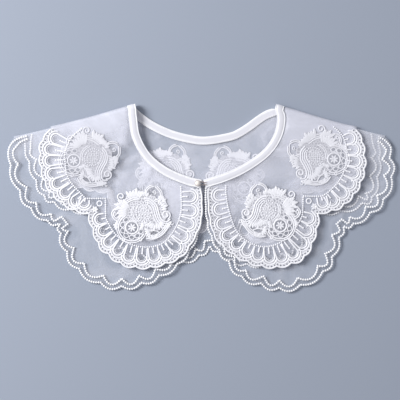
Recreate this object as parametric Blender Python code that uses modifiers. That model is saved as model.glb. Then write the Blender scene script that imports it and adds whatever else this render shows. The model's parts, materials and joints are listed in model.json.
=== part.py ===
"""A double lace collar laid flat: two layers of sheer cloth, folded at both shoulders so
that the back lies under the front, with a bound neckline, a pearl button and a thread loop.

Sizes are in millimetres until a mesh is made. X runs across the collar, the front hangs
towards -Y, and +Z is up from the surface that the collar lies on."""

import math

import bmesh
import bpy
import numpy as np
from mathutils.geometry import delaunay_2d_cdt

MM = 0.001
UP = np.array((0.0, 0.0, 1.0))

# Cloth
WALL = 1.0
LAYER_GAP = 0.6
SEAM_GAP = 0.3
LATTICE = 15.0
FOLD_STEPS = 6
FOLD_POINT_SPACING = 13.0

# How the layers lie on each other
PLATEAU = 4.0
DRAPE_WIDTH = 28.0
LOFT_AT_NECK = 5.5
LOFT_REACH = 42.0
LOFT_EVERYWHERE = 0.7

# Neck binding
BINDING_WIDTH = 10.0
BINDING_OVER = 0.3
BINDING_CROWN = 0.5
NECK_SPACING = 7.0
CORNER_STEPS = 8

# Pearl button and its loop
PEARL_DIAMETER = 6.4
PEARL_AT = (-5.6, 18.2)
LOOP_CORD = 1.2
LOOP_RADIUS = 3.3
LOOP_ROOT = (5.0, 17.8)

# Lace border of the top layer and beaded hem of the under layer, raised on the front
TRIM_GAP = 0.5
TRIM_INSET = 0.4
BORDER_DEPTH = 17.0
HEM_DEPTH = 7.0
HEM_END = 8

# Embroidered medallions
MEDALLION_EDGE = 0.8
MEDALLION_RELIEF = 1.3
MEDALLION_RINGS = 8
MEDALLION_SPOKES = 36
MEDALLION_LOBES = 8
MEDALLION_PETALS = 6

# Each shoulder fold is a straight line from the middle of the binding to the lobe's tip.
# columns: binding x, y, tip x, y, length of the top layer's fold
SHOULDER_FOLD = {
    "left": ((-84.0, 106.5), (-225.5, 73.0), 100.0),
    "right": ((91.5, 106.0), (218.5, 74.0), 95.0),
}

# Middle of the binding, from the shoulder fold to the centre front. columns: x, y
NECK_FRONT = {
    "left": ((-84.0, 106.5), (-83.0, 95.5), (-79.2, 73.2), (-66.0, 50.0),
             (-43.8, 32.2), (-18.0, 21.2), (-1.4, 17.6)),
    "right": ((91.5, 106.0), (94.0, 94.0), (89.5, 74.0), (76.0, 54.6),
              (51.0, 36.6), (27.0, 25.4), (2.4, 17.6)),
}

# Middle of the binding round the back, from the left fold to the right. columns: x, y
NECK_BACK = ((-84.0, 106.5), (-78.0, 99.8), (-61.2, 88.0), (-39.0, 77.6), (-15.0, 71.2),
             (5.4, 69.4), (33.0, 74.0), (45.0, 79.0), (57.0, 86.6), (67.5, 94.4), (77.0, 100.4),
             (84.8, 103.2), (91.5, 106.0))

# The cloth's edges, from the shoulder tip to the centre front. On the under layer each row
# is a valley between two scallops. columns: x, y, how far a scallop bulges out there
UNDER_SHOULDER = {
    "left": ((-225.5, 73.0, 5.0), (-230.4, 40.2, 4.2), (-219.3, 9.0, 4.2),
             (-206.0, -12.0, 4.2), (-186.0, -27.0, 4.0), (-171.5, -31.5, 3.0)),
    "right": ((218.5, 74.0, 5.0), (225.0, 48.6, 4.4), (227.0, 26.0, 4.0),
              (217.5, -1.2, 4.4), (201.5, -17.5, 4.2), (181.0, -31.0, 3.8), (170.0, -34.5, 3.0)),
}
UNDER_LOBE = {
    "left": ((-171.5, -31.5, 3.0), (-170.5, -42.0, 4.0), (-163.0, -64.0, 4.4),
             (-148.5, -85.0, 4.6), (-122.5, -101.5, 4.8), (-96.6, -106.0, 4.8),
             (-73.0, -102.0, 4.6), (-51.5, -93.0, 4.4), (-29.5, -79.0, 3.6),
             (-15.0, -62.0, 2.6), (-5.0, -41.0, 1.8), (-0.9, -20.0, 0.9), (-0.9, 0.0, 0.5),
             (-1.6, 12.3, 0.2)),
    "right": ((170.0, -34.5, 3.0), (164.4, -47.4, 4.2), (156.0, -70.2, 4.4),
              (144.6, -88.2, 4.6), (117.6, -104.4, 4.8), (91.8, -108.0, 4.8),
              (70.2, -102.6, 4.6), (46.8, -94.0, 4.4), (31.0, -76.0, 3.6),
              (19.5, -62.0, 2.8), (10.3, -45.0, 2.0), (5.4, -27.0, 1.4), (3.2, -8.0, 0.6),
              (3.0, 12.3, 0.2)),
}
TOP_SHOULDER = {
    "left": ((-181.3, 83.5, 1.2), (-192.0, 67.0, 2.4), (-193.5, 49.0, 2.6), (-191.0, 32.0, 2.6),
             (-186.0, 17.0, 2.8), (-174.0, 1.5, 3.0), (-156.0, -12.0, 2.8), (-136.0, -18.5, 2.0)),
    "right": ((183.6, 82.8, 1.2), (190.5, 69.0, 2.4), (192.8, 53.4, 2.6), (193.6, 36.5, 2.6),
              (187.5, 16.5, 2.8), (178.0, 2.0, 3.0), (163.0, -11.0, 2.8), (138.6, -18.5, 2.0)),
}
TOP_LOBE = {
    "left": ((-136.0, -18.5, 2.0), (-133.5, -28.0, 2.4), (-123.0, -55.6, 2.8),
             (-109.5, -68.7, 3.0), (-94.7, -78.5, 3.0), (-75.0, -82.0, 3.0),
             (-55.5, -80.5, 2.8), (-26.0, -69.5, 2.2), (-9.4, -46.5, 1.4), (-2.6, -31.0, 1.0),
             (-0.3, -16.0, 0.7), (-0.6, 3.0, 0.5), (-2.0, 12.3, 0.2)),
    "right": ((138.6, -18.5, 2.0), (137.6, -31.0, 2.4), (130.5, -54.0, 2.8),
              (119.5, -71.5, 3.0), (97.5, -80.0, 3.0), (80.0, -81.5, 3.0),
              (60.0, -77.5, 2.8), (38.0, -67.0, 2.4), (17.5, -48.5, 1.8), (11.2, -33.0, 1.4),
              (8.0, -17.0, 1.0), (6.6, 0.0, 0.5), (6.2, 12.3, 0.2)),
}

# The same, round the back from the left tip to the right.
UNDER_BACK_LEFT_SHOULDER = ((-225.5, 73.0, 1.5), (-213.5, 61.0, 2.6), (-208.5, 43.8, 3.0),
                            (-200.0, 21.0, 3.6), (-190.0, 3.0, 4.0), (-178.0, -5.0, 4.0),
                            (-158.0, -14.0, 4.0), (-134.0, -18.5, 2.5))
UNDER_BACK_LEFT_LOBE = ((-134.0, -18.5, 2.5), (-126.5, -41.0, 3.0), (-116.5, -56.0, 3.4),
                        (-100.0, -67.5, 3.6), (-75.0, -75.0, 4.0), (-45.0, -77.0, 4.4),
                        (-24.6, -76.0, 4.4), (-4.0, -69.0, 4.4), (9.0, -58.8, 2.5))
UNDER_BACK_RIGHT_LOBE = ((9.0, -58.8, 2.5), (19.0, -64.5, 3.4), (36.0, -74.0, 4.4),
                         (53.4, -79.0, 4.4), (75.0, -79.5, 4.0), (98.0, -75.0, 3.6),
                         (115.0, -66.0, 3.4), (127.0, -51.0, 3.0), (133.0, -34.0, 3.0),
                         (140.0, -17.5, 2.5))
UNDER_BACK_RIGHT_SHOULDER = ((140.0, -17.5, 2.5), (166.0, -15.5, 4.4), (191.5, -6.5, 4.4),
                             (204.0, 1.5, 4.0), (210.5, 25.5, 3.6), (212.5, 48.6, 3.0),
                             (211.5, 64.0, 2.4), (218.5, 74.0, 1.5))
TOP_BACK_LEFT_SHOULDER = ((-181.3, 83.5, 1.2), (-183.0, 66.0, 2.4), (-180.0, 48.0, 2.6),
                          (-172.0, 32.0, 2.8), (-160.0, 20.0, 2.8), (-140.0, 12.0, 2.8),
                          (-114.0, 7.0, 2.0))
TOP_BACK_LEFT_LOBE = ((-114.0, 7.0, 2.0), (-106.0, -16.0, 2.8), (-92.0, -34.0, 3.0),
                      (-72.0, -46.0, 3.0), (-45.0, -50.0, 3.0), (-22.0, -48.0, 3.0),
                      (-2.0, -40.0, 2.8), (9.0, -31.0, 2.0))
TOP_BACK_RIGHT_LOBE = ((9.0, -31.0, 2.0), (20.0, -38.0, 2.8), (38.0, -46.0, 3.0),
                       (56.0, -51.0, 3.0), (78.0, -51.0, 3.0), (98.0, -44.0, 3.0),
                       (112.0, -28.0, 2.8), (120.0, 7.0, 2.0))
TOP_BACK_RIGHT_SHOULDER = ((120.0, 7.0, 2.0), (146.0, 11.0, 2.8), (166.0, 19.0, 2.8),
                           (180.0, 32.0, 2.8), (186.0, 50.0, 2.6), (187.5, 66.0, 2.4),
                           (183.6, 82.8, 1.2))

# How many equal scallops each edge of the top layer carries
SCALLOPS = {"top_shoulder": 8, "top_lobe": 13, "top_back_shoulder": 8, "top_back_lobe": 9}
SCALLOP_SEGMENTS = 5

# A trim's relief across its depth: the border has a rim cord, a loop to each scallop and an
# inner line of beads, and the hem has two lines of beads.
# columns: share of the depth, height between two scallops, height in the middle of one
BORDER_RELIEF = ((0.0, 0.4, 0.4), (0.14, 0.8, 0.8), (0.34, 0.4, 0.7), (0.66, 0.3, 1.0),
                 (1.0, 0.5, 0.5))
HEM_RELIEF = ((0.0, 0.3, 0.3), (0.2, 0.8, 0.8), (0.5, 0.3, 0.3), (0.8, 0.8, 0.8),
              (1.0, 0.3, 0.3))

# columns: centre x, y, half width, half height, turn in degrees
MEDALLIONS = {
    "medallion_shoulder_left": (-133.0, 46.5, 33.0, 33.0, 48.0),
    "medallion_front_left": (-74.0, -19.5, 36.0, 30.0, 24.0),
    "medallion_front_right": (78.0, -17.0, 34.0, 31.0, -24.0),
    "medallion_shoulder_right": (133.0, 48.0, 31.0, 34.0, -48.0),
}

# columns: colour, roughness
FINISHES = {
    "under_organza": ((0.86, 0.88, 0.93), 0.55),
    "top_organza": ((0.90, 0.91, 0.95), 0.55),
    "satin_binding": ((0.95, 0.95, 0.95), 0.35),
    "white_embroidery": ((0.97, 0.97, 0.96), 0.6),
    "pearl": ((0.93, 0.88, 0.82), 0.2),
    "loop_thread": ((0.9, 0.88, 0.85), 0.6),
}


def through(rows, spacing, steps=None):
    """A smooth curve through the rows (Catmull-Rom spans), as points about that far apart,
    or with that many steps to a span."""
    rows = np.array(rows, float)
    padded = np.vstack((2 * rows[0] - rows[1], rows, 2 * rows[-1] - rows[-2]))
    points = []
    for before, start, end, after in zip(padded, padded[1:], padded[2:], padded[3:]):
        count = steps or max(2, math.ceil(np.linalg.norm((end - start)[:2]) / spacing))
        for t in np.arange(count) / count:
            points.append(0.5 * (2 * start + (end - before) * t
                                 + (2 * before - 5 * start + 4 * end - after) * t**2
                                 + (3 * start - before - 3 * end + after) * t**3))
    return np.vstack((points, rows[-1]))


def along(curve):
    """The length along a curve at each of its points."""
    steps = np.linalg.norm(np.diff(curve[:, :2], axis=0), axis=1)
    return np.concatenate(([0.0], np.cumsum(steps)))


def at_lengths(curve, lengths):
    """Points of a curve at the given lengths along it."""
    where = along(curve)
    return np.column_stack([np.interp(lengths, where, column) for column in curve.T])


def left_of(curve):
    """The unit vectors in the plane that point to the left of a curve's run."""
    run = np.gradient(curve[:, :2], axis=0)
    run /= np.linalg.norm(run, axis=1)[:, None]
    return np.column_stack((-run[:, 1], run[:, 0]))


def scallop_frame(rows, count):
    """Points along a lobe's plain edge with how far a scallop bulges there, the unit vectors
    to its left, and a wave that is 0 between two scallops and about 1 in the middle of one.
    The scallops are equal where a count is given, and otherwise run from each row of the
    table to the next."""
    phase = np.arange((count or len(rows) - 1) * SCALLOP_SEGMENTS + 1) / SCALLOP_SEGMENTS
    if count:
        curve = through(rows, 2.0)
        lengths = phase / count * along(curve)[-1]
        points = at_lengths(curve, lengths)
        sideways = at_lengths(np.column_stack((curve[:, :2], left_of(curve))), lengths)[:, 2:]
    else:
        points = through(rows, 0, SCALLOP_SEGMENTS)
        sideways = left_of(through(np.array(rows)[:, :2], 0, SCALLOP_SEGMENTS))
    return points, sideways, np.abs(np.sin(math.pi * phase))


def scalloped(rows, count, outward):
    """A lobe's edge, with scallops that bulge out as half a sine wave. outward is 1 to the
    left of the curve's run, or -1."""
    points, sideways, wave = scallop_frame(rows, count)
    return points[:, :2] + outward * (points[:, 2] * wave)[:, None] * sideways


def joined(*runs):
    """Several runs of points end to end, without the point that two runs share."""
    kept = [runs[0]]
    for run in runs[1:]:
        shared = np.linalg.norm(kept[-1][-1] - run[0]) < 0.01
        kept.append(run[1:] if shared else run)
    return np.vstack(kept)


def inside(points, outline):
    """True for the points that lie in a closed outline, by counting crossings to the right."""
    x, y = points[:, 0][:, None], points[:, 1][:, None]
    x0, y0 = outline.T
    x1, y1 = np.roll(outline, -1, axis=0).T
    spans = (y0 > y) != (y1 > y)
    rise = np.where(np.abs(y1 - y0) < 1e-9, 1e-9, y1 - y0)
    return (spans & (x < x0 + (y - y0) * (x1 - x0) / rise)).sum(axis=1) % 2 == 1


def edge_distance(points, outline):
    """How far each point is from a closed outline."""
    start, end = outline, np.roll(outline, -1, axis=0)
    run = end - start
    reach = points[:, None, :] - start[None]
    share = (reach * run).sum(axis=2) / np.maximum((run * run).sum(axis=1), 1e-12)
    off = reach - np.clip(share, 0, 1)[:, :, None] * run
    return np.linalg.norm(off, axis=2).min(axis=1)


def support(points, outline):
    """1 over an outline and its plateau, falling smoothly to 0 at the drape's foot."""
    away = np.where(inside(points, outline), 0.0, edge_distance(points, outline))
    share = np.clip((away - PLATEAU) / DRAPE_WIDTH, 0, 1)
    return 1 - share * share * (3 - 2 * share)


def fold_frame(side):
    """Where a shoulder fold starts, its direction to the tip, its length and the way out."""
    start, tip, top_length = SHOULDER_FOLD[side]
    start, tip = np.array(start), np.array(tip)
    run = tip - start
    length = np.linalg.norm(run)
    run /= length
    out = np.array((-run[1], run[0]))
    return start, run, length, top_length, out if out[1] > 0 else -out


def fold_edge(side, layer):
    """Points along a shoulder fold, from the binding's edge to the layer's own edge."""
    start, run, length, top_length, _ = fold_frame(side)
    first = BINDING_WIDTH / 2 + SEAM_GAP
    last = length if layer == "under" else top_length
    count = math.ceil((last - first) / FOLD_POINT_SPACING) + 1
    return start + np.linspace(first, last, count)[:, None] * run


def neck_edge(middle, outward):
    """The cloth's neck edge: the binding's middle, moved out past the binding's side."""
    curve = through(middle, 2.0)
    where = along(curve)
    count = math.ceil(where[-1] / NECK_SPACING)
    lengths = np.linspace(0, where[-1], count + 1)
    sideways = at_lengths(np.column_stack((curve, left_of(curve))), lengths)[:, 2:]
    sideways /= np.linalg.norm(sideways, axis=1)[:, None]
    moved = BINDING_WIDTH / 2 + SEAM_GAP
    return at_lengths(curve, lengths) + outward * moved * sideways


def front_outline(side, layer):
    """A front panel: shoulder fold, shoulder lobe, front lobe and neck, as a closed loop."""
    turn = 1 if side == "right" else -1
    shoulder, lobe = {"under": (UNDER_SHOULDER, UNDER_LOBE),
                      "top": (TOP_SHOULDER, TOP_LOBE)}[layer]
    fold = fold_edge(side, layer)
    edge = joined(scalloped(shoulder[side], SCALLOPS.get(layer + "_shoulder"), turn),
                  scalloped(lobe[side], SCALLOPS.get(layer + "_lobe"), turn))
    edge[0] = fold[-1]
    neck = neck_edge(NECK_FRONT[side], turn)[::-1]
    neck[-1] = fold[0]
    return joined(fold, edge, neck)[:-1]


def back_outline(layer):
    """The back panel: both folds, four lobes and the neck, as a closed loop."""
    runs = {"under": (UNDER_BACK_LEFT_SHOULDER, UNDER_BACK_LEFT_LOBE,
                      UNDER_BACK_RIGHT_LOBE, UNDER_BACK_RIGHT_SHOULDER),
            "top": (TOP_BACK_LEFT_SHOULDER, TOP_BACK_LEFT_LOBE,
                    TOP_BACK_RIGHT_LOBE, TOP_BACK_RIGHT_SHOULDER)}[layer]
    kinds = ("_back_shoulder", "_back_lobe", "_back_lobe", "_back_shoulder")
    left, right = fold_edge("left", layer), fold_edge("right", layer)
    edge = joined(*[scalloped(rows, SCALLOPS.get(layer + kind), -1)
                    for rows, kind in zip(runs, kinds)])
    edge[0], edge[-1] = left[-1], right[-1]
    neck = neck_edge(NECK_BACK, -1)[::-1]
    neck[0], neck[-1] = right[0], left[0]
    return joined(left, edge, right[::-1], neck)[:-1]


OUTLINES = {(layer, side): front_outline(side, layer)
            for layer in ("under", "top") for side in ("left", "right")}
BACK = {layer: back_outline(layer) for layer in ("under", "top")}


def loft(points):
    """How far the front stands off the back: most at the neck corners, where the bound
    edge resists the fold, and little elsewhere."""
    height = np.full(len(points), LOFT_EVERYWHERE)
    for side in ("left", "right"):
        away = np.linalg.norm(points - fold_frame(side)[0], axis=1)
        height += LOFT_AT_NECK * np.exp(-(away / LOFT_REACH) ** 2)
    return height


def underside(points, panel, layer):
    """The height of a layer's lower face. The stack from the surface up is the back's top
    layer, the back's under layer, the front's under layer and the front's top layer."""
    step = WALL + LAYER_GAP
    over_back_top = step * support(points, BACK["top"])
    if panel == "back":
        return over_back_top if layer == "under" else np.zeros(len(points))
    over_back = step * support(points, BACK["under"])
    height = over_back_top + over_back + loft(points)
    return height if layer == "under" else height + step


def inner_lattice(outline):
    """Staggered points inside an outline, clear of its edge. Every panel uses the same
    lattice, so that layers which lie on each other bend together."""
    low, high = outline.min(axis=0), outline.max(axis=0)
    row_step = LATTICE * math.sqrt(0.75)
    rows = np.arange(math.floor(low[1] / row_step), math.ceil(high[1] / row_step) + 1)
    columns = np.arange(math.floor(low[0] / LATTICE) - 1, math.ceil(high[0] / LATTICE) + 1)
    points = np.array([((c + 0.5 * (r % 2)) * LATTICE, r * row_step)
                       for r in rows for c in columns])
    points = points[inside(points, outline)]
    return points[edge_distance(points, outline) > 0.4 * LATTICE]


def add_panel(bm, outline, panel, layer):
    """Adds one panel's middle surface: its outline and lattice, triangulated and lifted."""
    points = np.vstack((outline, inner_lattice(outline)))
    count = len(outline)
    edges = [(i, (i + 1) % count) for i in range(count)]
    flat, _, faces, *_ = delaunay_2d_cdt([tuple(p) for p in points], edges, [], 1, 1e-4)
    flat = np.array([tuple(p) for p in flat])
    heights = underside(flat, panel, layer) + WALL / 2
    made = [bm.verts.new((x * MM, y * MM, z * MM)) for (x, y), z in zip(flat, heights)]
    for face in faces:
        corners = [made[i] for i in face]
        bm.faces.new(corners[::-1] if panel == "back" else corners)


def add_shoulder(bm, side, layer):
    """Adds the half round bend that joins a front panel to the back at a shoulder."""
    edge = fold_edge(side, layer)
    out = fold_frame(side)[4]
    above = underside(edge, "front", layer) + WALL / 2
    below = underside(edge, "back", layer) + WALL / 2
    middle, radius = (above + below) / 2, (above - below) / 2
    rings = []
    for angle in np.linspace(0, math.pi, FOLD_STEPS + 1):
        plan = edge + (radius * math.sin(angle))[:, None] * out
        height = middle + radius * math.cos(angle)
        rings.append([bm.verts.new((x * MM, y * MM, z * MM)) for (x, y), z in zip(plan, height)])
    for upper, lower in zip(rings, rings[1:]):
        for a, b, c, d in zip(upper, upper[1:], lower[1:], lower):
            bm.faces.new((a, b, c, d))


def add_object(name, bm, finish, collection):
    """Makes an object with its own material from a bmesh."""
    mesh = bpy.data.meshes.new(name)
    bm.to_mesh(mesh)
    bm.free()
    mesh.shade_smooth()
    mesh.set_sharp_from_angle(angle=math.radians(40))
    colour, roughness = FINISHES[finish]
    material = bpy.data.materials.new(name)
    material.use_nodes = True
    shader = material.node_tree.nodes["Principled BSDF"]
    shader.inputs["Base Color"].default_value = (*colour, 1)
    shader.inputs["Roughness"].default_value = roughness
    mesh.materials.append(material)
    obj = bpy.data.objects.new(name, mesh)
    collection.objects.link(obj)
    return obj


def cloth_layer(name, layer, finish, collection):
    """One layer of the collar as a single folded sheet with a real wall."""
    bm = bmesh.new()
    for side in ("left", "right"):
        add_panel(bm, OUTLINES[layer, side], "front", layer)
        add_shoulder(bm, side, layer)
    add_panel(bm, BACK[layer], "back", layer)
    bmesh.ops.remove_doubles(bm, verts=bm.verts, dist=0.01 * MM)
    bmesh.ops.recalc_face_normals(bm, faces=bm.faces)
    obj = add_object(name, bm, finish, collection)
    wall = obj.modifiers.new("wall", "SOLIDIFY")
    wall.thickness = WALL * MM
    wall.offset = 0
    wall.use_even_offset = True
    return obj


def binding_section(lower, upper):
    """The binding's section, across and up: flat sides and softened edges."""
    half = BINDING_WIDTH / 2
    return ((-half + 0.6, lower), (half - 0.6, lower), (half, lower + 0.7), (half, upper - 0.8),
            (half - 1.1, upper), (0.0, upper), (1.1 - half, upper), (-half, upper - 0.8),
            (-half, lower + 0.7))


def binding_run(middle, panel, outward):
    """Stations of the binding on one panel: middle, sideways to the cloth, and face."""
    curve = through(middle, 2.0)
    lengths = np.linspace(0, along(curve)[-1], math.ceil(along(curve)[-1] / NECK_SPACING) + 1)
    plan = at_lengths(curve, lengths)
    sideways = at_lengths(np.column_stack((curve, left_of(curve))), lengths)[:, 2:]
    sideways /= np.linalg.norm(sideways, axis=1)[:, None]
    inner = "top" if panel == "back" else "under"
    heights = underside(plan, panel, inner)
    face = UP if panel == "front" else -UP
    return [(np.array((*p, h)), np.array((*s, 0.0)) * outward, face)
            for p, s, h in zip(plan, sideways, heights)]


def binding_corner(side, front, back):
    """Stations that carry the binding round a shoulder fold, from the front to the back."""
    _, run, _, _, out = fold_frame(side)
    sideways = np.array((*run, 0.0))
    middle, radius = (front + back) / 2, (front[2] - back[2]) / 2
    out = np.array((*out, 0.0))
    stations = []
    for angle in np.linspace(0, math.pi, CORNER_STEPS + 1)[1:-1]:
        face = out * math.sin(angle) + UP * math.cos(angle)
        stations.append((middle + face * radius, sideways, face))
    return stations


def neck_binding(collection):
    """One strip round the whole neckline, from the left front end to the right front end."""
    stack = 2 * WALL + LAYER_GAP
    lift = (stack + BINDING_OVER) / 2
    runs = {}
    for side, outward in (("left", -1), ("right", 1)):
        stations = binding_run(NECK_FRONT[side], "front", outward)
        stations[0] = (stations[0][0], np.array((*fold_frame(side)[1], 0.0)), UP)
        runs[side] = [(p + UP * stack / 2, s, f) for p, s, f in stations]
    back = [(p + UP * lift, s, f) for p, s, f in binding_run(NECK_BACK, "back", -1)]
    for index, side in ((0, "left"), (-1, "right")):
        back[index] = (back[index][0], np.array((*fold_frame(side)[1], 0.0)), -UP)
    path = (runs["left"][::-1] + binding_corner("left", runs["left"][0][0], back[0][0]) + back
            + binding_corner("right", runs["right"][0][0], back[-1][0])[::-1] + runs["right"])
    section = binding_section(-lift, lift)
    bm = bmesh.new()
    rings = []
    for middle, sideways, face in path:
        crown = BINDING_CROWN * max(0.0, face[2])
        rings.append([bm.verts.new((middle + sideways * a + face * (b + crown * (a == 0))) * MM)
                      for a, b in section])
    for ring, following in zip(rings, rings[1:]):
        for i in range(len(section)):
            k = (i + 1) % len(section)
            bm.faces.new((ring[i], ring[k], following[k], following[i]))
    bm.faces.new(rings[0][::-1])
    bm.faces.new(rings[-1])
    bmesh.ops.recalc_face_normals(bm, faces=bm.faces)
    return add_object("neck_binding", bm, "satin_binding", collection)


def binding_top(x, y):
    """The height of the front binding's face at a point."""
    low = underside(np.array(((x, y),)), "front", "under")[0]
    return low + 2 * WALL + LAYER_GAP + BINDING_OVER / 2 + BINDING_CROWN


def pearl_button(collection):
    """The pearl on the left end of the binding."""
    bm = bmesh.new()
    bmesh.ops.create_uvsphere(bm, u_segments=20, v_segments=12, radius=PEARL_DIAMETER / 2 * MM)
    pearl = add_object("pearl_button", bm, "pearl", collection)
    height = binding_top(*PEARL_AT) + SEAM_GAP + PEARL_DIAMETER / 2
    pearl.location = (PEARL_AT[0] * MM, PEARL_AT[1] * MM, height * MM)
    return pearl


def button_loop(collection):
    """The thread loop from the right end of the binding, round the pearl's foot."""
    height = binding_top(*PEARL_AT) + SEAM_GAP + LOOP_CORD / 2
    curve = bpy.data.curves.new("button_loop", "CURVE")
    curve.dimensions = "3D"
    curve.bevel_depth = LOOP_CORD / 2 * MM
    curve.bevel_resolution = 2
    curve.use_fill_caps = True
    angles = np.radians(np.linspace(40, 320, 15))
    ring = [(PEARL_AT[0] + LOOP_RADIUS * math.cos(a), PEARL_AT[1] + LOOP_RADIUS * math.sin(a))
            for a in angles]
    ends = [(LOOP_ROOT[0], LOOP_ROOT[1] + LOOP_CORD), (LOOP_ROOT[0], LOOP_ROOT[1] - LOOP_CORD)]
    route = [ends[0], *ring, ends[1]]
    spline = curve.splines.new("POLY")
    spline.points.add(len(route) - 1)
    for point, (x, y) in zip(spline.points, route):
        point.co = (x * MM, y * MM, height * MM, 1)
    loop = bpy.data.objects.new("button_loop", curve)
    material = bpy.data.materials.new("button_loop")
    material.use_nodes = True
    shader = material.node_tree.nodes["Principled BSDF"]
    shader.inputs["Base Color"].default_value = (*FINISHES["loop_thread"][0], 1)
    shader.inputs["Roughness"].default_value = FINISHES["loop_thread"][1]
    curve.materials.append(material)
    collection.objects.link(loop)
    return loop


def relief(share, angle):
    """The ornament's height, 0 to 1, at a share of the way out: a knob and petals in the
    middle, a corded ring round them, and curling scrolls out to the edge."""
    knob = np.exp(-(share / 0.08) ** 2)
    petals = np.exp(-((share - 0.24) / 0.11) ** 2) * (0.55 + 0.45 * np.cos(MEDALLION_PETALS * angle))
    ring = 0.8 * np.exp(-((share - 0.46) / 0.05) ** 2)
    curl = 0.5 + 0.5 * np.cos(MEDALLION_LOBES * angle + 7 * (share - 0.72))
    scrolls = np.exp(-((share - 0.75) / 0.15) ** 2) * curl
    return np.clip(np.maximum.reduce((knob, petals, ring, scrolls)), 0, 1)


def medallion(name, collection):
    """A raised oval of corded embroidery on the top layer: the cloth's own points moved
    out, with the ornament raised in the outer points over a plain inside."""
    x, y, half_width, half_height, turn = MEDALLIONS[name]
    turn = math.radians(turn)
    angles = np.arange(MEDALLION_SPOKES) / MEDALLION_SPOKES * 2 * math.pi
    reach = 1 + 0.05 * np.cos(MEDALLION_LOBES * angles)
    plans, reliefs = [np.array(((x, y),))], [relief(np.zeros(1), np.zeros(1))]
    for ring in range(1, MEDALLION_RINGS + 1):
        share = ring / MEDALLION_RINGS
        across = half_width * share * reach * np.cos(angles)
        up = half_height * share * reach * np.sin(angles)
        plans.append(np.column_stack((x + across * math.cos(turn) - up * math.sin(turn),
                                      y + across * math.sin(turn) + up * math.cos(turn))))
        reliefs.append(relief(np.full(MEDALLION_SPOKES, share), angles))
    plan = np.vstack(plans)
    bottom = underside(plan, "front", "top") + WALL + SEAM_GAP
    top = bottom + MEDALLION_EDGE + MEDALLION_RELIEF * np.concatenate(reliefs)
    bm = bmesh.new()
    faces = {}
    for key, heights in (("top", top), ("bottom", bottom)):
        faces[key] = [bm.verts.new((px * MM, py * MM, z * MM))
                      for (px, py), z in zip(plan, heights)]
    count = MEDALLION_SPOKES
    for key, made in faces.items():
        for i in range(count):
            k = (i + 1) % count
            bm.faces.new((made[0], made[1 + i], made[1 + k]))
            for ring in range(MEDALLION_RINGS - 1):
                low, high = 1 + ring * count, 1 + (ring + 1) * count
                bm.faces.new((made[low + i], made[high + i], made[high + k], made[low + k]))
    rim = 1 + (MEDALLION_RINGS - 1) * count
    for i in range(count):
        k = (i + 1) % count
        bm.faces.new((faces["top"][rim + i], faces["bottom"][rim + i],
                      faces["bottom"][rim + k], faces["top"][rim + k]))
    bmesh.ops.recalc_face_normals(bm, faces=bm.faces)
    return add_object(name, bm, "white_embroidery", collection)


def trim(name, layer, rows, count, outward, last, depth, relief, fade, collection):
    """A raised strip on a layer, along a stretch of a front edge as far as the last scallop:
    the cloth's own points moved out, with the relief in the outer points over a plain
    inside. The scallops fade by that share on the way in."""
    points, sideways, wave = scallop_frame(rows, count)
    upper, lower = [], []
    for share, valley, crest in relief:
        out = points[:, 2] * wave * (1 - fade * share) - TRIM_INSET - depth * share
        plan = points[:, :2] + outward * out[:, None] * sideways
        low = underside(plan, "front", layer) + WALL + TRIM_GAP
        upper.append(np.column_stack((plan, low + valley + (crest - valley) * wave)))
        lower.append(np.column_stack((plan, low)))
    stations = np.stack(upper + lower[::-2], axis=1)[1:last * SCALLOP_SEGMENTS]
    bm = bmesh.new()
    rings = [[bm.verts.new(point * MM) for point in ring] for ring in stations]
    for ring, following in zip(rings, rings[1:]):
        for a, b, c, d in zip(ring, ring[1:] + ring[:1], following[1:] + following[:1], following):
            bm.faces.new((a, b, c, d))
    bm.faces.new(rings[0][::-1])
    bm.faces.new(rings[-1])
    bmesh.ops.recalc_face_normals(bm, faces=bm.faces)
    return add_object(name, bm, "white_embroidery", collection)


def trims(collection):
    """The lace border and the beaded hem of both fronts, a strip to each lobe. The hem's
    strip ends where the top layer comes to lie on it."""
    for side, outward in (("left", -1), ("right", 1)):
        for part, rows, key in (("shoulder", TOP_SHOULDER, "top_shoulder"),
                                ("front", TOP_LOBE, "top_lobe")):
            trim(f"lace_border_{part}_{side}", "top", rows[side], SCALLOPS[key], outward,
                 SCALLOPS[key], BORDER_DEPTH, BORDER_RELIEF, 1.0, collection)
        trim(f"beaded_hem_shoulder_{side}", "under", UNDER_SHOULDER[side], None, outward,
             len(UNDER_SHOULDER[side]) - 1, HEM_DEPTH, HEM_RELIEF, 0.3, collection)
        trim(f"beaded_hem_front_{side}", "under", UNDER_LOBE[side], None, outward,
             HEM_END, HEM_DEPTH, HEM_RELIEF, 0.3, collection)


def main():
    for obj in list(bpy.data.objects):
        bpy.data.objects.remove(obj)
    collection = bpy.data.collections.new("lace_collar")
    bpy.context.scene.collection.children.link(collection)
    cloth_layer("under_layer", "under", "under_organza", collection)
    cloth_layer("top_layer", "top", "top_organza", collection)
    neck_binding(collection)
    trims(collection)
    for name in MEDALLIONS:
        medallion(name, collection)
    pearl_button(collection)
    button_loop(collection)


main()
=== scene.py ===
"""The fine surface of a double lace collar laid flat: two layers of sheer organza folded at
both shoulders, beaded and scalloped edges, a looped lace border, embroidered scroll
medallions, a satin neck binding, a pearl button and its thread loop.

Lengths are in millimetres until a mesh is made. X runs across the collar, the front hangs
towards -Y and +Z is up from the surface."""

import json
import math
from functools import partial

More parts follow.
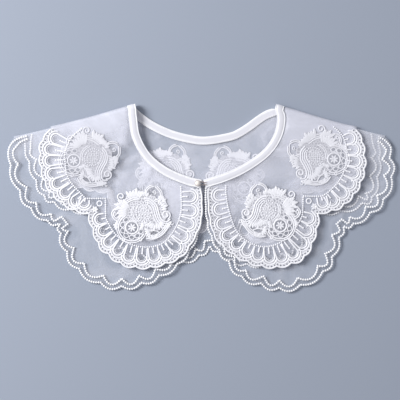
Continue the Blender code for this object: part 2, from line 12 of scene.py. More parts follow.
import bpy
import numpy as np
from mathutils.geometry import delaunay_2d_cdt
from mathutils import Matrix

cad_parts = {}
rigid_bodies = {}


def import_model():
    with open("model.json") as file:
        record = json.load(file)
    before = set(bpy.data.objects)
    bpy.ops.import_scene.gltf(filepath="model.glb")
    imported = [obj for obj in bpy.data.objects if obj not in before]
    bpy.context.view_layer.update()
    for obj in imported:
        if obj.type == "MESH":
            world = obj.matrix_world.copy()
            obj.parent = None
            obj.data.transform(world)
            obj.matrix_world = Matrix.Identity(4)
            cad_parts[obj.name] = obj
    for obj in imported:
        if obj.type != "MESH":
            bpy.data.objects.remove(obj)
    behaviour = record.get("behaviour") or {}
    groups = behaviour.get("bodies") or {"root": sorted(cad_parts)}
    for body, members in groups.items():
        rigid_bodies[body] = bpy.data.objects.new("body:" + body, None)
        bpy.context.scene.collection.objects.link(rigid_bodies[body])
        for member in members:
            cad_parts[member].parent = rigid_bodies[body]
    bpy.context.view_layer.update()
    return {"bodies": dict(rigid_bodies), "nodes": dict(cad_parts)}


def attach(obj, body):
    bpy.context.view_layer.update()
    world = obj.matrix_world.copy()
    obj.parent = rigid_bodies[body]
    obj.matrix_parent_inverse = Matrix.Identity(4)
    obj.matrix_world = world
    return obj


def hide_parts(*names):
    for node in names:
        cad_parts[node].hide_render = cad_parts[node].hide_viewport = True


MM = 0.001
UP = np.array((0.0, 0.0, 1.0))
SIDES = ("left", "right")
LAYERS = ("under", "top")
OUTWARD = {"left": -1, "right": 1}

# The solids' own sizes
WALL = 1.0
LAYER_GAP = 0.6
SEAM_GAP = 0.3
PLATEAU = 4.0
DRAPE_WIDTH = 28.0
LOFT_AT_NECK = 5.5
LOFT_REACH = 42.0
LOFT_EVERYWHERE = 0.7
BINDING_WIDTH = 10.0
BINDING_OVER = 0.3
BINDING_CROWN = 0.5
PEARL_DIAMETER = 6.4
PEARL_AT = (-5.6, 18.2)
LOOP_ROOT = (5.0, 17.8)
LOOP_RADIUS = 3.3
LOOP_CORD = 0.45
LOOP_HALF_WIDTH = 1.2
LOOP_FOOT = 0.6
STACK = 2 * WALL + LAYER_GAP
BINDING_LIFT = (STACK + BINDING_OVER) / 2

# The cloth as it shows
CLOTH = 0.24
WELD_REACH = 0.01
LATTICE = 5.0
CURVE_STEP = 2.0
RIPPLE = 0.35
RIM_LIFT = 1.5
RIM_REACH = 9.0
FIELD_STEP = 2.0
FIELD_REACH = (250, 125)
FOLD_STEPS = 12
SCALLOP_SEGMENTS = 14

# Lifts off the cloth, so that no face lies in another
NET_LIFT = 0.14
MEDALLION_LIFT = 0.25
LACE_LIFT = 0.3
HOLE_LIFT = 0.36
BEAD_LIFT = 0.5

# Edging
BEAD_PITCH = 2.8
BEAD_RADIUS = 1.15
BEAD_STRETCH = 1.4
BEAD_HEIGHT = 0.8
HEM_INSET = 1.2
HEM_SPACING = 5.6
HEM_CUSP = 3.4
BORDER_DEPTH = 24.0
LOOP_END = 8.0
LOOP_WIDEST = 6.2

# A border loop's arcs: how far out from its end, and the cord's radius
LOOP_ARCS = ((0.0, 1.05), (2.9, 0.85), (-2.2, 0.35))

# The denser net along each edge, between two insets from it. On the hem this net is coloured dark
# as painted shade between the lines of beads; on the rim it keeps the net's own white.
HEM_NET_AND_SHADE = (0.2, HEM_INSET + HEM_SPACING)
RIM_NET = (0.1, 8.0)
NET_THICKNESS = 0.12

# The top layer's rim. An eyelet is a ring's radius and its cord's, and the line of beads a
# pitch, a bead's radius and the thread's.
RIM_CORD = 1.05
RIM_CORD_INSET = 0.8
EYELET_PITCH = 4.0
EYELET_INSET = 2.9
EYELET_CUSP = 0.3
EYELET_RING = (1.5, 0.45)
# The eyelet hole is a dark disc, painted shade for the shaded layer seen through each eyelet
EYELET_HOLE = 1.15
HOLE_HEIGHT = 0.12
BORDER_BEADS = (2.6, 0.95, 0.35)

# The binding's stations and stitches
BINDING_STEP = 2.0
CORNER_STEPS = 16
BLENDED = 4
GROOVE_AT = 3.6
GROOVE_DEPTH = 0.45
GROOVE_WIDTH = 0.6
PUCKER = 0.2
STITCH_PITCH = 3.0
STITCH_LENGTH = 2.0
STITCH_HALF = 0.28

# Its section, as shares of its half width: its face from one edge to the middle, and half its
# underside, with the height of each point over the flat in millimetres
FACE_ACROSS = np.array((1, 0.99, 0.93, 0.84, 0.77, 0.72, 0.67, 0.6, 0.3))
BACK_ACROSS = np.array((-0.97, -0.9, -0.76, -0.66, -0.3))
BACK_RISE = np.array((0.35, 0.06, 0.1, 0, 0))
EDGE_DROP = 1.0

# Each shoulder fold is a straight line from the middle of the binding to the lobe's tip.
# columns: binding x, y, tip x, y, length of the top layer's fold
SHOULDER_FOLD = {
    "left": ((-84.0, 106.5), (-225.5, 73.0), 100.0),
    "right": ((91.5, 106.0), (218.5, 74.0), 95.0),
}

# Middle of the binding, from the shoulder fold to the centre front. columns: x, y
NECK_FRONT = {
    "left": ((-84.0, 106.5), (-83.0, 95.5), (-79.2, 73.2), (-66.0, 50.0),
             (-43.8, 32.2), (-18.0, 21.2), (-1.4, 17.6)),
    "right": ((91.5, 106.0), (94.0, 94.0), (89.5, 74.0), (76.0, 54.6),
              (51.0, 36.6), (27.0, 25.4), (2.4, 17.6)),
}

# Middle of the binding round the back, from the left fold to the right. columns: x, y
NECK_BACK = ((-84.0, 106.5), (-78.0, 99.8), (-61.2, 88.0), (-39.0, 77.6), (-15.0, 71.2),
             (5.4, 69.4), (33.0, 74.0), (45.0, 79.0), (57.0, 86.6), (67.5, 94.4), (77.0, 100.4),
             (84.8, 103.2), (91.5, 106.0))

# The cloth's edges, from the shoulder tip to the centre front. On the under layer each row
# is a valley between two scallops. columns: x, y, how far a scallop bulges out there
UNDER_SHOULDER = {
    "left": ((-225.5, 73.0, 5.0), (-230.4, 40.2, 4.2), (-219.3, 9.0, 4.2),
             (-206.0, -12.0, 4.2), (-186.0, -27.0, 4.0), (-171.5, -31.5, 3.0)),
    "right": ((218.5, 74.0, 5.0), (225.0, 48.6, 4.4), (227.0, 26.0, 4.0),
              (217.5, -1.2, 4.4), (201.5, -17.5, 4.2), (181.0, -31.0, 3.8), (170.0, -34.5, 3.0)),
}
UNDER_LOBE = {
    "left": ((-171.5, -31.5, 3.0), (-170.5, -42.0, 4.0), (-163.0, -64.0, 4.4),
             (-148.5, -85.0, 4.6), (-122.5, -101.5, 4.8), (-96.6, -106.0, 4.8),
             (-73.0, -102.0, 4.6), (-51.5, -93.0, 4.4), (-29.5, -79.0, 3.6),
             (-15.0, -62.0, 2.6), (-5.0, -41.0, 1.8), (-0.9, -20.0, 0.9), (-0.9, 0.0, 0.5),
             (-1.6, 12.3, 0.2)),
    "right": ((170.0, -34.5, 3.0), (164.4, -47.4, 4.2), (156.0, -70.2, 4.4),
              (144.6, -88.2, 4.6), (117.6, -104.4, 4.8), (91.8, -108.0, 4.8),
              (70.2, -102.6, 4.6), (46.8, -94.0, 4.4), (31.0, -76.0, 3.6),
              (19.5, -62.0, 2.8), (10.3, -45.0, 2.0), (5.4, -27.0, 1.4), (3.2, -8.0, 0.6),
              (3.0, 12.3, 0.2)),
}
TOP_SHOULDER = {
    "left": ((-181.3, 83.5, 1.2), (-192.0, 67.0, 2.4), (-193.5, 49.0, 2.6), (-191.0, 32.0, 2.6),
             (-186.0, 17.0, 2.8), (-174.0, 1.5, 3.0), (-156.0, -12.0, 2.8), (-136.0, -18.5, 2.0)),
    "right": ((183.6, 82.8, 1.2), (190.5, 69.0, 2.4), (192.8, 53.4, 2.6), (193.6, 36.5, 2.6),
              (187.5, 16.5, 2.8), (178.0, 2.0, 3.0), (163.0, -11.0, 2.8), (138.6, -18.5, 2.0)),
}
TOP_LOBE = {
    "left": ((-136.0, -18.5, 2.0), (-133.5, -28.0, 2.4), (-123.0, -55.6, 2.8),
             (-109.5, -68.7, 3.0), (-94.7, -78.5, 3.0), (-75.0, -82.0, 3.0),
             (-55.5, -80.5, 2.8), (-26.0, -69.5, 2.2), (-9.4, -46.5, 1.4), (-2.6, -31.0, 1.0),
             (-0.3, -16.0, 0.7), (-0.6, 3.0, 0.5), (-2.0, 12.3, 0.2)),
    "right": ((138.6, -18.5, 2.0), (137.6, -31.0, 2.4), (130.5, -54.0, 2.8),
              (119.5, -71.5, 3.0), (97.5, -80.0, 3.0), (80.0, -81.5, 3.0),
              (60.0, -77.5, 2.8), (38.0, -67.0, 2.4), (17.5, -48.5, 1.8), (11.2, -33.0, 1.4),
              (8.0, -17.0, 1.0), (6.6, 0.0, 0.5), (6.2, 12.3, 0.2)),
}

# The same, round the back from the left tip to the right.
UNDER_BACK = (
    ((-225.5, 73.0, 1.5), (-213.5, 61.0, 2.6), (-208.5, 43.8, 3.0), (-200.0, 21.0, 3.6),
     (-190.0, 3.0, 4.0), (-178.0, -5.0, 4.0), (-158.0, -14.0, 4.0), (-134.0, -18.5, 2.5)),
    ((-134.0, -18.5, 2.5), (-126.5, -41.0, 3.0), (-116.5, -56.0, 3.4), (-100.0, -67.5, 3.6),
     (-75.0, -75.0, 4.0), (-45.0, -77.0, 4.4), (-24.6, -76.0, 4.4), (-4.0, -69.0, 4.4),
     (9.0, -58.8, 2.5)),
    ((9.0, -58.8, 2.5), (19.0, -64.5, 3.4), (36.0, -74.0, 4.4), (53.4, -79.0, 4.4),
     (75.0, -79.5, 4.0), (98.0, -75.0, 3.6), (115.0, -66.0, 3.4), (127.0, -51.0, 3.0),
     (133.0, -34.0, 3.0), (140.0, -17.5, 2.5)),
    ((140.0, -17.5, 2.5), (166.0, -15.5, 4.4), (191.5, -6.5, 4.4), (204.0, 1.5, 4.0),
     (210.5, 25.5, 3.6), (212.5, 48.6, 3.0), (211.5, 64.0, 2.4), (218.5, 74.0, 1.5)),
)
TOP_BACK = (
    ((-181.3, 83.5, 1.2), (-183.0, 66.0, 2.4), (-180.0, 48.0, 2.6), (-172.0, 32.0, 2.8),
     (-160.0, 20.0, 2.8), (-140.0, 12.0, 2.8), (-114.0, 7.0, 2.0)),
    ((-114.0, 7.0, 2.0), (-106.0, -16.0, 2.8), (-92.0, -34.0, 3.0), (-72.0, -46.0, 3.0),
     (-45.0, -50.0, 3.0), (-22.0, -48.0, 3.0), (-2.0, -40.0, 2.8), (9.0, -31.0, 2.0)),
    ((9.0, -31.0, 2.0), (20.0, -38.0, 2.8), (38.0, -46.0, 3.0), (56.0, -51.0, 3.0),
     (78.0, -51.0, 3.0), (98.0, -44.0, 3.0), (112.0, -28.0, 2.8), (120.0, 7.0, 2.0)),
    ((120.0, 7.0, 2.0), (146.0, 11.0, 2.8), (166.0, 19.0, 2.8), (180.0, 32.0, 2.8),
     (186.0, 50.0, 2.6), (187.5, 66.0, 2.4), (183.6, 82.8, 1.2)),
)

# Each layer's lobes with their counts of scallops: on the under layer a scallop to each row
FRONT_LOBES = {"under": ((UNDER_SHOULDER, None), (UNDER_LOBE, None)),
               "top": ((TOP_SHOULDER, 8), (TOP_LOBE, 13))}
BACK_LOBES = {"under": [(rows, None) for rows in UNDER_BACK],
              "top": list(zip(TOP_BACK, (8, 9, 9, 8)))}

# The hem's outer and inner line of beads on the front, from the shoulder fold round the
# tip, before they follow the scallops. columns: x, y
HEM_WRAP = {
    "left": (((-211.0, 74.6), (-217.0, 73.0), (-222.5, 70.6), (-227.5, 66.8)),
             ((-210.0, 71.0), (-214.5, 69.4), (-218.6, 67.0), (-221.8, 63.4))),
    "right": (((213.6, 72.4), (217.6, 70.4), (221.4, 67.0)),
              ((210.6, 68.4), (213.6, 66.8), (216.4, 63.6))),
}

# The same lines on the back, from the shoulder fold down, seen through the front. The back's
# scallops start below HEM_BACK_TOP, and the front's by HEM_LEAD below the last point above.
HEM_BACK_START = {
    "left": (((-212.6, 74.0), (-212.8, 66.0)), ((-204.6, 76.4), (-206.0, 68.0))),
    "right": (((212.0, 74.4), (211.2, 67.0)), ((202.6, 77.0), (203.6, 69.0))),
}
HEM_BACK_TOP = 60.0
HEM_LEAD = 4.0

# Where the looped border of the top layer starts, from the shoulder to the centre front.
# columns: x, y
BORDER_SHOULDER = {
    "left": ((-143.9, 83.4), (-156.6, 72.6), (-164.0, 55.8), (-163.8, 40.2), (-162.0, 28.2),
             (-155.4, 16.8), (-144.6, 5.4), (-139.8, 0.0)),
    "right": ((157.0, 85.4), (163.4, 79.6), (169.8, 70.2), (172.2, 53.4), (169.8, 34.2),
              (161.4, 18.6), (145.8, 4.2), (133.8, 2.4)),
}
BORDER_LOBE = {
    "left": ((-115.8, -23.4), (-105.0, -41.4), (-89.4, -53.4), (-67.8, -58.2), (-47.4, -53.4),
             (-33.0, -36.6), (-25.8, -17.4), (-25.2, -1.8), (-25.8, 14.0)),
    "right": ((120.0, -11.4), (118.2, -23.4), (105.0, -42.6), (90.6, -54.0), (71.4, -57.6),
              (53.4, -51.0), (40.2, -37.8), (31.8, -15.0), (28.2, 4.2), (28.2, 15.0)),
}
BORDER_CORNER = {
    "left": ((-139.8, 0.0), (-115.8, 0.0), (-115.8, -23.4)),
    "right": ((133.8, 2.4), (120.6, 3.0), (120.0, -11.4)),
}
CORNER_RING = {"left": (-123.0, -6.0), "right": (127.2, -3.0)}
CORNER_FLOWER = {"left": (-128.5, -13.0), "right": (134.0, -9.5)}

# The medallions. columns: panel, x, y, turn in degrees, mirrored, share of the full relief, tone of
# the thread. The tone is painted light: bright, soft and faint are one white embroidery, painted
# lighter or darker for how the light falls on each medallion.
MEDALLIONS = {
    "medallion_front_left": ("front", -71.0, -18.0, 0.0, 1, 1.0, "bright"),
    "medallion_shoulder_left": ("front", -132.6, 48.6, -42.6, 1, 0.5, "faint"),
    "medallion_front_right": ("front", 80.0, -15.5, 0.0, -1, 1.0, "bright"),
    "medallion_shoulder_right": ("front", 136.4, 50.4, 42.6, -1, 0.6, "soft"),
    "back_medallion_left": ("back", -43.0, 31.0, 0.0, 1, 0.2, "soft"),
    "back_medallion_right": ("back", 37.0, 29.0, 0.0, -1, 0.2, "soft"),
}

# The ornament, from its own centre
MEDALLION_SIZE = 1.05
PLATE_HEIGHT = 0.4
PLATE_HALF = (28.0, 25.0)
PLATE_SHIFT = -2.0

# The ground's rings, from the top's middle over the edge to the underside. columns: share of
# the outline, height
PLATE_RINGS = ((0.04, PLATE_HEIGHT), (0.5, PLATE_HEIGHT), (0.96, PLATE_HEIGHT),
               (0.99, 0.8 * PLATE_HEIGHT), (1.0, 0.4 * PLATE_HEIGHT), (0.98, -0.02),
               (0.5, -0.02), (0.04, -0.02))

# The ornament's wheel, windows and net
WHEEL = (-12.5, -16.0)
WHEEL_HUB = 6.4
WHEEL_RIM = 15.2
WINDOW = (2.5, 1.9)
WINDOW_ANGLES = (128, 163, 198, 233, 268, 303, 338)
OVAL_NET = (1.0, 1.5)
OVAL_HALF = (8.6, 10.6)
SCROLL_CORD = (0.9, 8)

# Corded scrolls. columns: radius, echoes beside it, their pitch, points (x, y)
SCROLLS = (
    (0.95, 3, 2.3, ((1, 17.5), (9, 16), (15.6, 9.5), (18, 1), (20.8, -6), (26.5, -9.5),
                    (31.5, -6))),
    (0.85, 2, -2.2, ((-30, 10), (-25.5, 7), (-19, 11.4), (-11, 15.4), (-3, 16.4))),
    (0.95, 2, 1.9, ((32.5, -9), (28, -17), (21.5, -24.5), (12, -29), (3.5, -28))),
    (0.7, 0, 0.0, ((2, -24), (6, -20.4), (13, -19.6), (19.5, -21.6))),
    (0.85, 1, 2.0, ((-27, -9.5), (-33, -6), (-35.5, 0.5), (-31.5, 5.5))),
    (0.8, 1, 1.9, ((12, 14.5), (18.5, 17.5), (19.6, 24), (13.4, 31))),
    (0.8, 1, -1.9, ((4, 19), (4.4, 25.5), (8, 29.5), (13.4, 31))),
    (0.6, 1, 1.8, ((-9.5, 9), (-11.5, 2), (-9.5, -5), (-4, -9.8))),
)

# Spiral curls. columns: centre x, y, outer radius, radius of cord, first angle, turns
CURLS = (
    (26.2, -1.6, 5.4, 0.85, -70, 1.5), (-25.0, 19.4, 4.8, 0.85, -60, -1.4),
    (24.4, 10.6, 3.2, 0.7, 200, -1.2), (-31.6, -1.0, 2.6, 0.65, 250, -1.1),
    (22.0, 18.2, 2.6, 0.65, 230, -1.1), (33.6, -11.4, 2.2, 0.6, 100, 1.0),
    (-22.0, -30.0, 2.4, 0.6, 60, 1.1), (-3.0, -30.0, 2.6, 0.65, 160, -1.1),
    (12.6, 24.2, 2.4, 0.6, 270, 1.2),
)

# Fans of petals. columns: centre x, y, first and last angle, petals, inner and outer reach,
# width
FANS = (
    (-8.0, 10.5, 62, 128, 6, 7.0, 17.5, 4.0), (-10.5, 1.0, 128, 196, 7, 6.5, 19.0, 3.4),
    (15.5, -5.0, -142, -48, 8, 6.0, 14.5, 3.0), (13.0, 3.0, 10, 62, 5, 8.0, 16.0, 3.2),
    (-13.0, 6.0, 150, 200, 4, 13.0, 20.0, 3.0), (1.0, 14.0, 60, 108, 4, 5.0, 12.0, 3.0),
    (13.0, -24.6, -175, 5, 7, 0.6, 5.0, 1.8), (-4.0, -13.0, -70, 20, 5, 1.5, 6.5, 2.2),
    (26.0, -12.0, -110, -10, 6, 1.0, 6.5, 2.2), (-27.0, -14.0, 120, 220, 5, 1.0, 7.0, 2.4),
    (9.0, -21.0, 150, 250, 5, 1.0, 7.5, 2.4), (-24.0, 8.0, 70, 190, 6, 1.0, 7.5, 2.4),
    (20.0, 14.0, 0, 110, 6, 1.0, 7.0, 2.4),
    (8.0, -9.0, -160, -60, 5, 2.0, 8.0, 2.2),
)

# The finishes. columns: name, colour, roughness, alpha, sheen, coat, then the scale, strength
# and kind of the fine relief
FINISHES = (
    ("under organza", (0.9, 0.915, 1.0), 0.5, 0.1, 0.3, 0.0, 900, 0.3, "weave"),
    ("top organza", (0.89, 0.9, 0.99), 0.5, 0.25, 0.3, 0.0, 900, 0.3, "weave"),
    # The hem net is partly the hem's denser net and partly painted shade: its dark grey stands for
    # the shadow between the hem's lines of beads.
    ("hem net and painted shade", (0.36, 0.39, 0.46), 0.6, 0.1, 0.0, 0.0, 1200, 0.4, "weave"),
    ("rim net", (0.92, 0.92, 0.97), 0.6, 0.55, 0.2, 0.0, 1200, 0.4, "weave"),
    ("hem beading", (0.9, 0.9, 0.92), 0.5, 1.0, 0.2, 0.0, 900, 0.3, "noise"),
    ("embroidery thread", (0.86, 0.86, 0.9), 0.55, 1.0, 0.3, 0.0, 1400, 0.5, "noise"),
    # The bright, soft and faint rows are lit and shaded copies of one white embroidery, as painted
    # light. Each shade row is painted shade in a medallion's openings.
    ("bright thread", (0.82, 0.82, 0.86), 0.55, 1.0, 0.3, 0.0, 1400, 0.6, "noise"),
    ("bright ground", (0.78, 0.78, 0.82), 0.5, 0.93, 0.3, 0.0, 700, 0.4, "weave"),
    ("bright shade", (0.33, 0.34, 0.39), 0.8, 0.75, 0.0, 0.0, 900, 0.4, "weave"),
    ("soft thread", (0.76, 0.76, 0.81), 0.55, 1.0, 0.3, 0.0, 1400, 0.6, "noise"),
    ("soft ground", (0.6, 0.6, 0.65), 0.5, 0.75, 0.3, 0.0, 700, 0.4, "weave"),
    ("soft shade", (0.48, 0.49, 0.55), 0.8, 0.6, 0.0, 0.0, 900, 0.4, "weave"),
    ("faint thread", (0.66, 0.66, 0.71), 0.55, 1.0, 0.3, 0.0, 1400, 0.6, "noise"),
    ("faint ground", (0.6, 0.6, 0.65), 0.5, 0.75, 0.3, 0.0, 700, 0.4, "weave"),
    ("faint shade", (0.48, 0.49, 0.55), 0.8, 0.6, 0.0, 0.0, 900, 0.4, "weave"),
    # The eyelet shade is painted shade: dark discs in the eyelets.
    ("eyelet shade", (0.33, 0.34, 0.39), 0.8, 0.8, 0.0, 0.0, 900, 0.4, "weave"),
    ("satin", (0.81, 0.81, 0.85), 0.45, 1.0, 0.4, 0.0, 260, 0.5, "noise"),
    ("pearl", (0.84, 0.78, 0.73), 0.18, 1.0, 0.0, 0.6, 400, 0.03, "noise"),
    ("loop thread", (0.4, 0.33, 0.3), 0.6, 1.0, 0.2, 0.0, 1500, 0.4, "noise"),
)
BUMP_DEPTH = 0.0002

# Alpha where the cloth covers least, and at a cover of 1. The cover carries painted sheen and
# painted shade as well as the cloth's own density.
SHEER = {"under organza": (0.04, 0.27), "top organza": (0.06, 0.38)}

# Colour in the holes and along the threads of each ground. The grounds are one lace, painted
# lighter or darker with their medallion's painted light.
OPENWORK = {
    "bright ground": ((0.42, 0.42, 0.47), (0.8, 0.8, 0.85)),
    "soft ground": ((0.56, 0.56, 0.62), (0.77, 0.77, 0.83)),
    "faint ground": ((0.52, 0.52, 0.58), (0.68, 0.68, 0.74)),
}
SATIN_EDGES = ((0.7, 0.7, 0.75), (0.87, 0.87, 0.9))

# The set, in metres
FLOOR_SIZE = 6
FLOOR_DROP = 0.0002
FLOOR_COLOUR = (0.302, 0.338, 0.41)
SKY_COLOUR = (0.93, 0.94, 1.0)
SKY_STRENGTH = 0.46
WINDOW_AT = (-1.54, 0.588, 1.33)
WINDOW_SIZE = 0.85
WINDOW_POWER = 53.5
CAMERA_AT = (-0.003, -0.0018, 1.7)
HALF_VIEW = 0.24


def unit(vectors):
    """Vectors at a length of 1."""
    return vectors / np.linalg.norm(vectors, axis=-1, keepdims=True)


def quarter_turn(vectors):
    """Vectors in the plane turned a quarter to the left: minus y becomes x, and x becomes y."""
    return np.stack((-vectors[..., 1], vectors[..., 0]), axis=-1)


def smooth(share):
    """A smooth step from 0 to 1: three times the square less twice the cube."""
    share = np.clip(share, 0, 1)
    return share * share * (3 - 2 * share)


def round_angles(count):
    """Equal angles round a full turn."""
    return np.arange(count) / count * 2 * math.pi


def ways(angles):
    """The unit vector in the plane at each angle: its cosine and its sine."""
    return np.stack((np.cos(angles), np.sin(angles)), axis=-1)


def raised(plan, heights):
    """Points in the plane with their heights."""
    return np.concatenate((plan, heights[..., None]), axis=-1)


def through(rows, spacing=CURVE_STEP, steps=None):
    """A smooth curve through the rows: each span is a cubic of the share along it, from the
    four rows round it (Catmull-Rom). Its points are about that far apart, or as many to a
    span as there are steps."""
    rows = np.array(rows, float)
    padded = np.vstack((2 * rows[0] - rows[1], rows, 2 * rows[-1] - rows[-2]))
    points = []
    for before, start, end, after in zip(padded, padded[1:], padded[2:], padded[3:]):
        count = steps or max(2, math.ceil(np.linalg.norm((end - start)[:2]) / spacing))
        for t in np.arange(count) / count:
            points.append(0.5 * (2 * start + (end - before) * t
                                 + (2 * before - 5 * start + 4 * end - after) * t**2
                                 + (3 * start - before - 3 * end + after) * t**3))
    return np.vstack((points, rows[-1]))


def along(curve):
    """The length along a curve at each of its points."""
    steps = np.linalg.norm(np.diff(curve[:, :2], axis=0), axis=1)
    return np.concatenate(([0.0], np.cumsum(steps)))


def at_lengths(curve, lengths):
    """Points of a curve at the given lengths along it."""
    where = along(curve)
    return np.column_stack([np.interp(lengths, where, column) for column in curve.T])


def evenly(curve, pitch):
    """Points of a curve at equal steps of about the pitch."""
    length = along(curve)[-1]
    return at_lengths(curve, np.linspace(0, length, max(2, round(length / pitch) + 1)))


def left_of(curve):
    """The unit vectors in the plane that point to the left of a curve's run."""
    run = np.gradient(curve[:, :2], axis=0)
    return quarter_turn(run / np.maximum(np.linalg.norm(run, axis=1), 1e-9)[:, None])


def sideways_at(curve, lengths):
    """The vectors to the left of a curve's run at the given lengths along it."""
    return at_lengths(np.column_stack((curve[:, :2], left_of(curve))), lengths)[:, 2:]


def scalloped(rows, count, outward, inset=0.0, cusp=0.0):
    """A lobe's edge: a curve with scallops that bulge out as half a sine wave. They are
    equal where a count is given, and otherwise run from each row of the table to the next.
    The whole line is moved in by the inset, and its valleys by the cusp as well."""
    scallops = count or len(rows) - 1
    phase = np.arange(scallops * SCALLOP_SEGMENTS + 1) / SCALLOP_SEGMENTS
    if count:
        curve = through(rows)
        lengths = phase / count * along(curve)[-1]
        points, sideways = at_lengths(curve, lengths), sideways_at(curve, lengths)
    else:
        points = through(rows, steps=SCALLOP_SEGMENTS)
        sideways = left_of(points)
    wave = np.abs(np.sin(math.pi * phase))
    bulge = points[:, 2] * wave - inset - cusp * (1 - wave)
    return points[:, :2] + outward * bulge[:, None] * sideways


def joined(*runs):
    """Several runs of points end to end, without the point that two runs share."""
    kept = [runs[0]]
    for run in runs[1:]:
        shared = np.linalg.norm(kept[-1][-1] - run[0]) < 0.01
        kept.append(run[1:] if shared else run)
    return np.vstack(kept)


def inside(points, outline):
    """True for the points that lie in a closed outline, by counting crossings to the right."""
    x, y = points[:, 0][:, None], points[:, 1][:, None]
    x0, y0 = outline.T
    x1, y1 = np.roll(outline, -1, axis=0).T
    spans = (y0 > y) != (y1 > y)
    rise = np.where(np.abs(y1 - y0) < 1e-9, 1e-9, y1 - y0)
    return (spans & (x < x0 + (y - y0) * (x1 - x0) / rise)).sum(axis=1) % 2 == 1


def edge_distance(points, outline, closed=True):
    """How far each point is from an outline, worked out in blocks to spare memory."""
    start, run = outline, np.roll(outline, -1, axis=0) - outline
    if not closed:
        start, run = start[:-1], run[:-1]
    square = np.maximum((run * run).sum(axis=1), 1e-12)
    found = []
    for block in np.array_split(points, max(1, len(points) // 4000)):
        reach = block[:, None, :] - start[None]
        share = np.clip((reach * run).sum(axis=2) / square, 0, 1)
        found.append(np.linalg.norm(reach - share[:, :, None] * run, axis=2).min(axis=1))
    return np.concatenate(found)


def fold_frame(side):
    """Where a shoulder fold starts, its direction to the tip, its length and the way out."""
    start, tip, top_length = SHOULDER_FOLD[side]
    start, tip = np.array(start), np.array(tip)
    run = tip - start
    length = np.linalg.norm(run)
    run /= length
    out = quarter_turn(run)
    return start, run, length, top_length, out if out[1] > 0 else -out


def fold_edge(side, layer):
    """Points along a shoulder fold, from the binding's edge to the layer's own edge."""
    start, run, length, top_length, _ = fold_frame(side)
    first = BINDING_WIDTH / 2 + SEAM_GAP
    last = length if layer == "under" else top_length
    count = math.ceil((last - first) / LATTICE) + 1
    return start + np.linspace(first, last, count)[:, None] * run


def neck_run(middle, step):
    """Points at equal steps along the binding's middle, and the unit vectors to their left."""
    curve = through(middle)
    length = along(curve)[-1]
    lengths = np.linspace(0, length, math.ceil(length / step) + 1)
    return at_lengths(curve, lengths), unit(sideways_at(curve, lengths))


def neck_edge(middle, outward):
    """The cloth's neck edge: the binding's middle, moved out to just under its side."""
    points, sideways = neck_run(middle, LATTICE)
    return points + outward * (BINDING_WIDTH / 2 + SEAM_GAP) * sideways


def front_edge(side, layer, inset=0.0, cusp=0.0):
    """A front panel's free edge from the shoulder tip to the centre front."""
    return joined(*[scalloped(rows[side], count, OUTWARD[side], inset, cusp)
                    for rows, count in FRONT_LOBES[layer]])


def back_edge(layer, inset=0.0, cusp=0.0):
    """The back panel's free edge, from the left tip to the right."""
    return joined(*[scalloped(rows, count, -1, inset, cusp)
                    for rows, count in BACK_LOBES[layer]])


def front_outline(side, layer):
    """A front panel: shoulder fold, shoulder lobe, front lobe and neck, as a closed loop."""
    fold = fold_edge(side, layer)
    edge = front_edge(side, layer)
    edge[0] = fold[-1]
    neck = neck_edge(NECK_FRONT[side], OUTWARD[side])[::-1]
    neck[-1] = fold[0]
    return joined(fold, edge, neck)[:-1]


def back_outline(layer):
    """The back panel: both folds, four lobes and the neck, as a closed loop."""
    left, right = fold_edge("left", layer), fold_edge("right", layer)
    edge = back_edge(layer)
    edge[0], edge[-1] = left[-1], right[-1]
    neck = neck_edge(NECK_BACK, -1)[::-1]
    neck[0], neck[-1] = right[0], left[0]
    return joined(left, edge, right[::-1], neck)[:-1]


# Soft patches where the cloth covers more or less, beside its rise towards the shoulder folds. They
# also paint light and shade into the cloth's whiteness: on the back, the thinner cover at the left
# of the neck is a painted shadow of the raised front binding. columns: x, y, reach, amount
COVER_AND_LIGHT_FRONT = (
    (-33.0, -14.0, 20.0, 0.8), (-34.0, 12.0, 16.0, 0.4), (20.0, -14.0, 20.0, 0.85),
    (26.0, 10.0, 16.0, 0.4), (-171.0, 52.0, 34.0, -0.35), (-63.0, 82.0, 20.0, -0.5),
    (-64.0, 48.0, 18.0, -0.4), (150.0, 44.0, 46.0, 0.55), (112.0, 78.0, 30.0, 0.8),
    (120.0, 20.0, 24.0, 0.12), (204.0, 40.0, 26.0, 0.1), (-205.0, 50.0, 24.0, -0.4),
    (71.0, 36.0, 18.0, 0.6), (6.0, -4.0, 12.0, 0.9), (-64.0, 68.0, 22.0, -0.4),
)
COVER_AND_LIGHT_BACK = ((0.0, 62.0, 60.0, 0.35), (-60.0, 80.0, 24.0, -0.6), (-8.0, 44.0, 20.0, -0.25))

# The rise towards the folds, partly denser cloth and partly painted sheen: where it starts and
# ends, its most, and how far it drops for each millimetre from the middle
COVER_AND_SHEEN_FOLD = (70.0, 122.0, 0.75, 0.244)
COVER_MOST = 1.4

OUTLINES = {(layer, side): front_outline(side, layer) for layer in LAYERS for side in SIDES}
BACK = {layer: back_outline(layer) for layer in LAYERS}
FIELD_X, FIELD_Y = (np.arange(-reach, reach + FIELD_STEP, FIELD_STEP) for reach in FIELD_REACH)
FIELD_POINTS = np.stack(np.meshgrid(FIELD_X, FIELD_Y, indexing="ij"), axis=-1).reshape(-1, 2)
FIELD_SHAPE = (len(FIELD_X), len(FIELD_Y))


def support_field(outline):
    """1 over an outline and its plateau, falling smoothly to 0 at the drape's foot, on a
    grid of points."""
    away = np.where(inside(FIELD_POINTS, outline), 0.0, edge_distance(FIELD_POINTS, outline))
    return (1 - smooth((away - PLATEAU) / DRAPE_WIDTH)).reshape(FIELD_SHAPE)


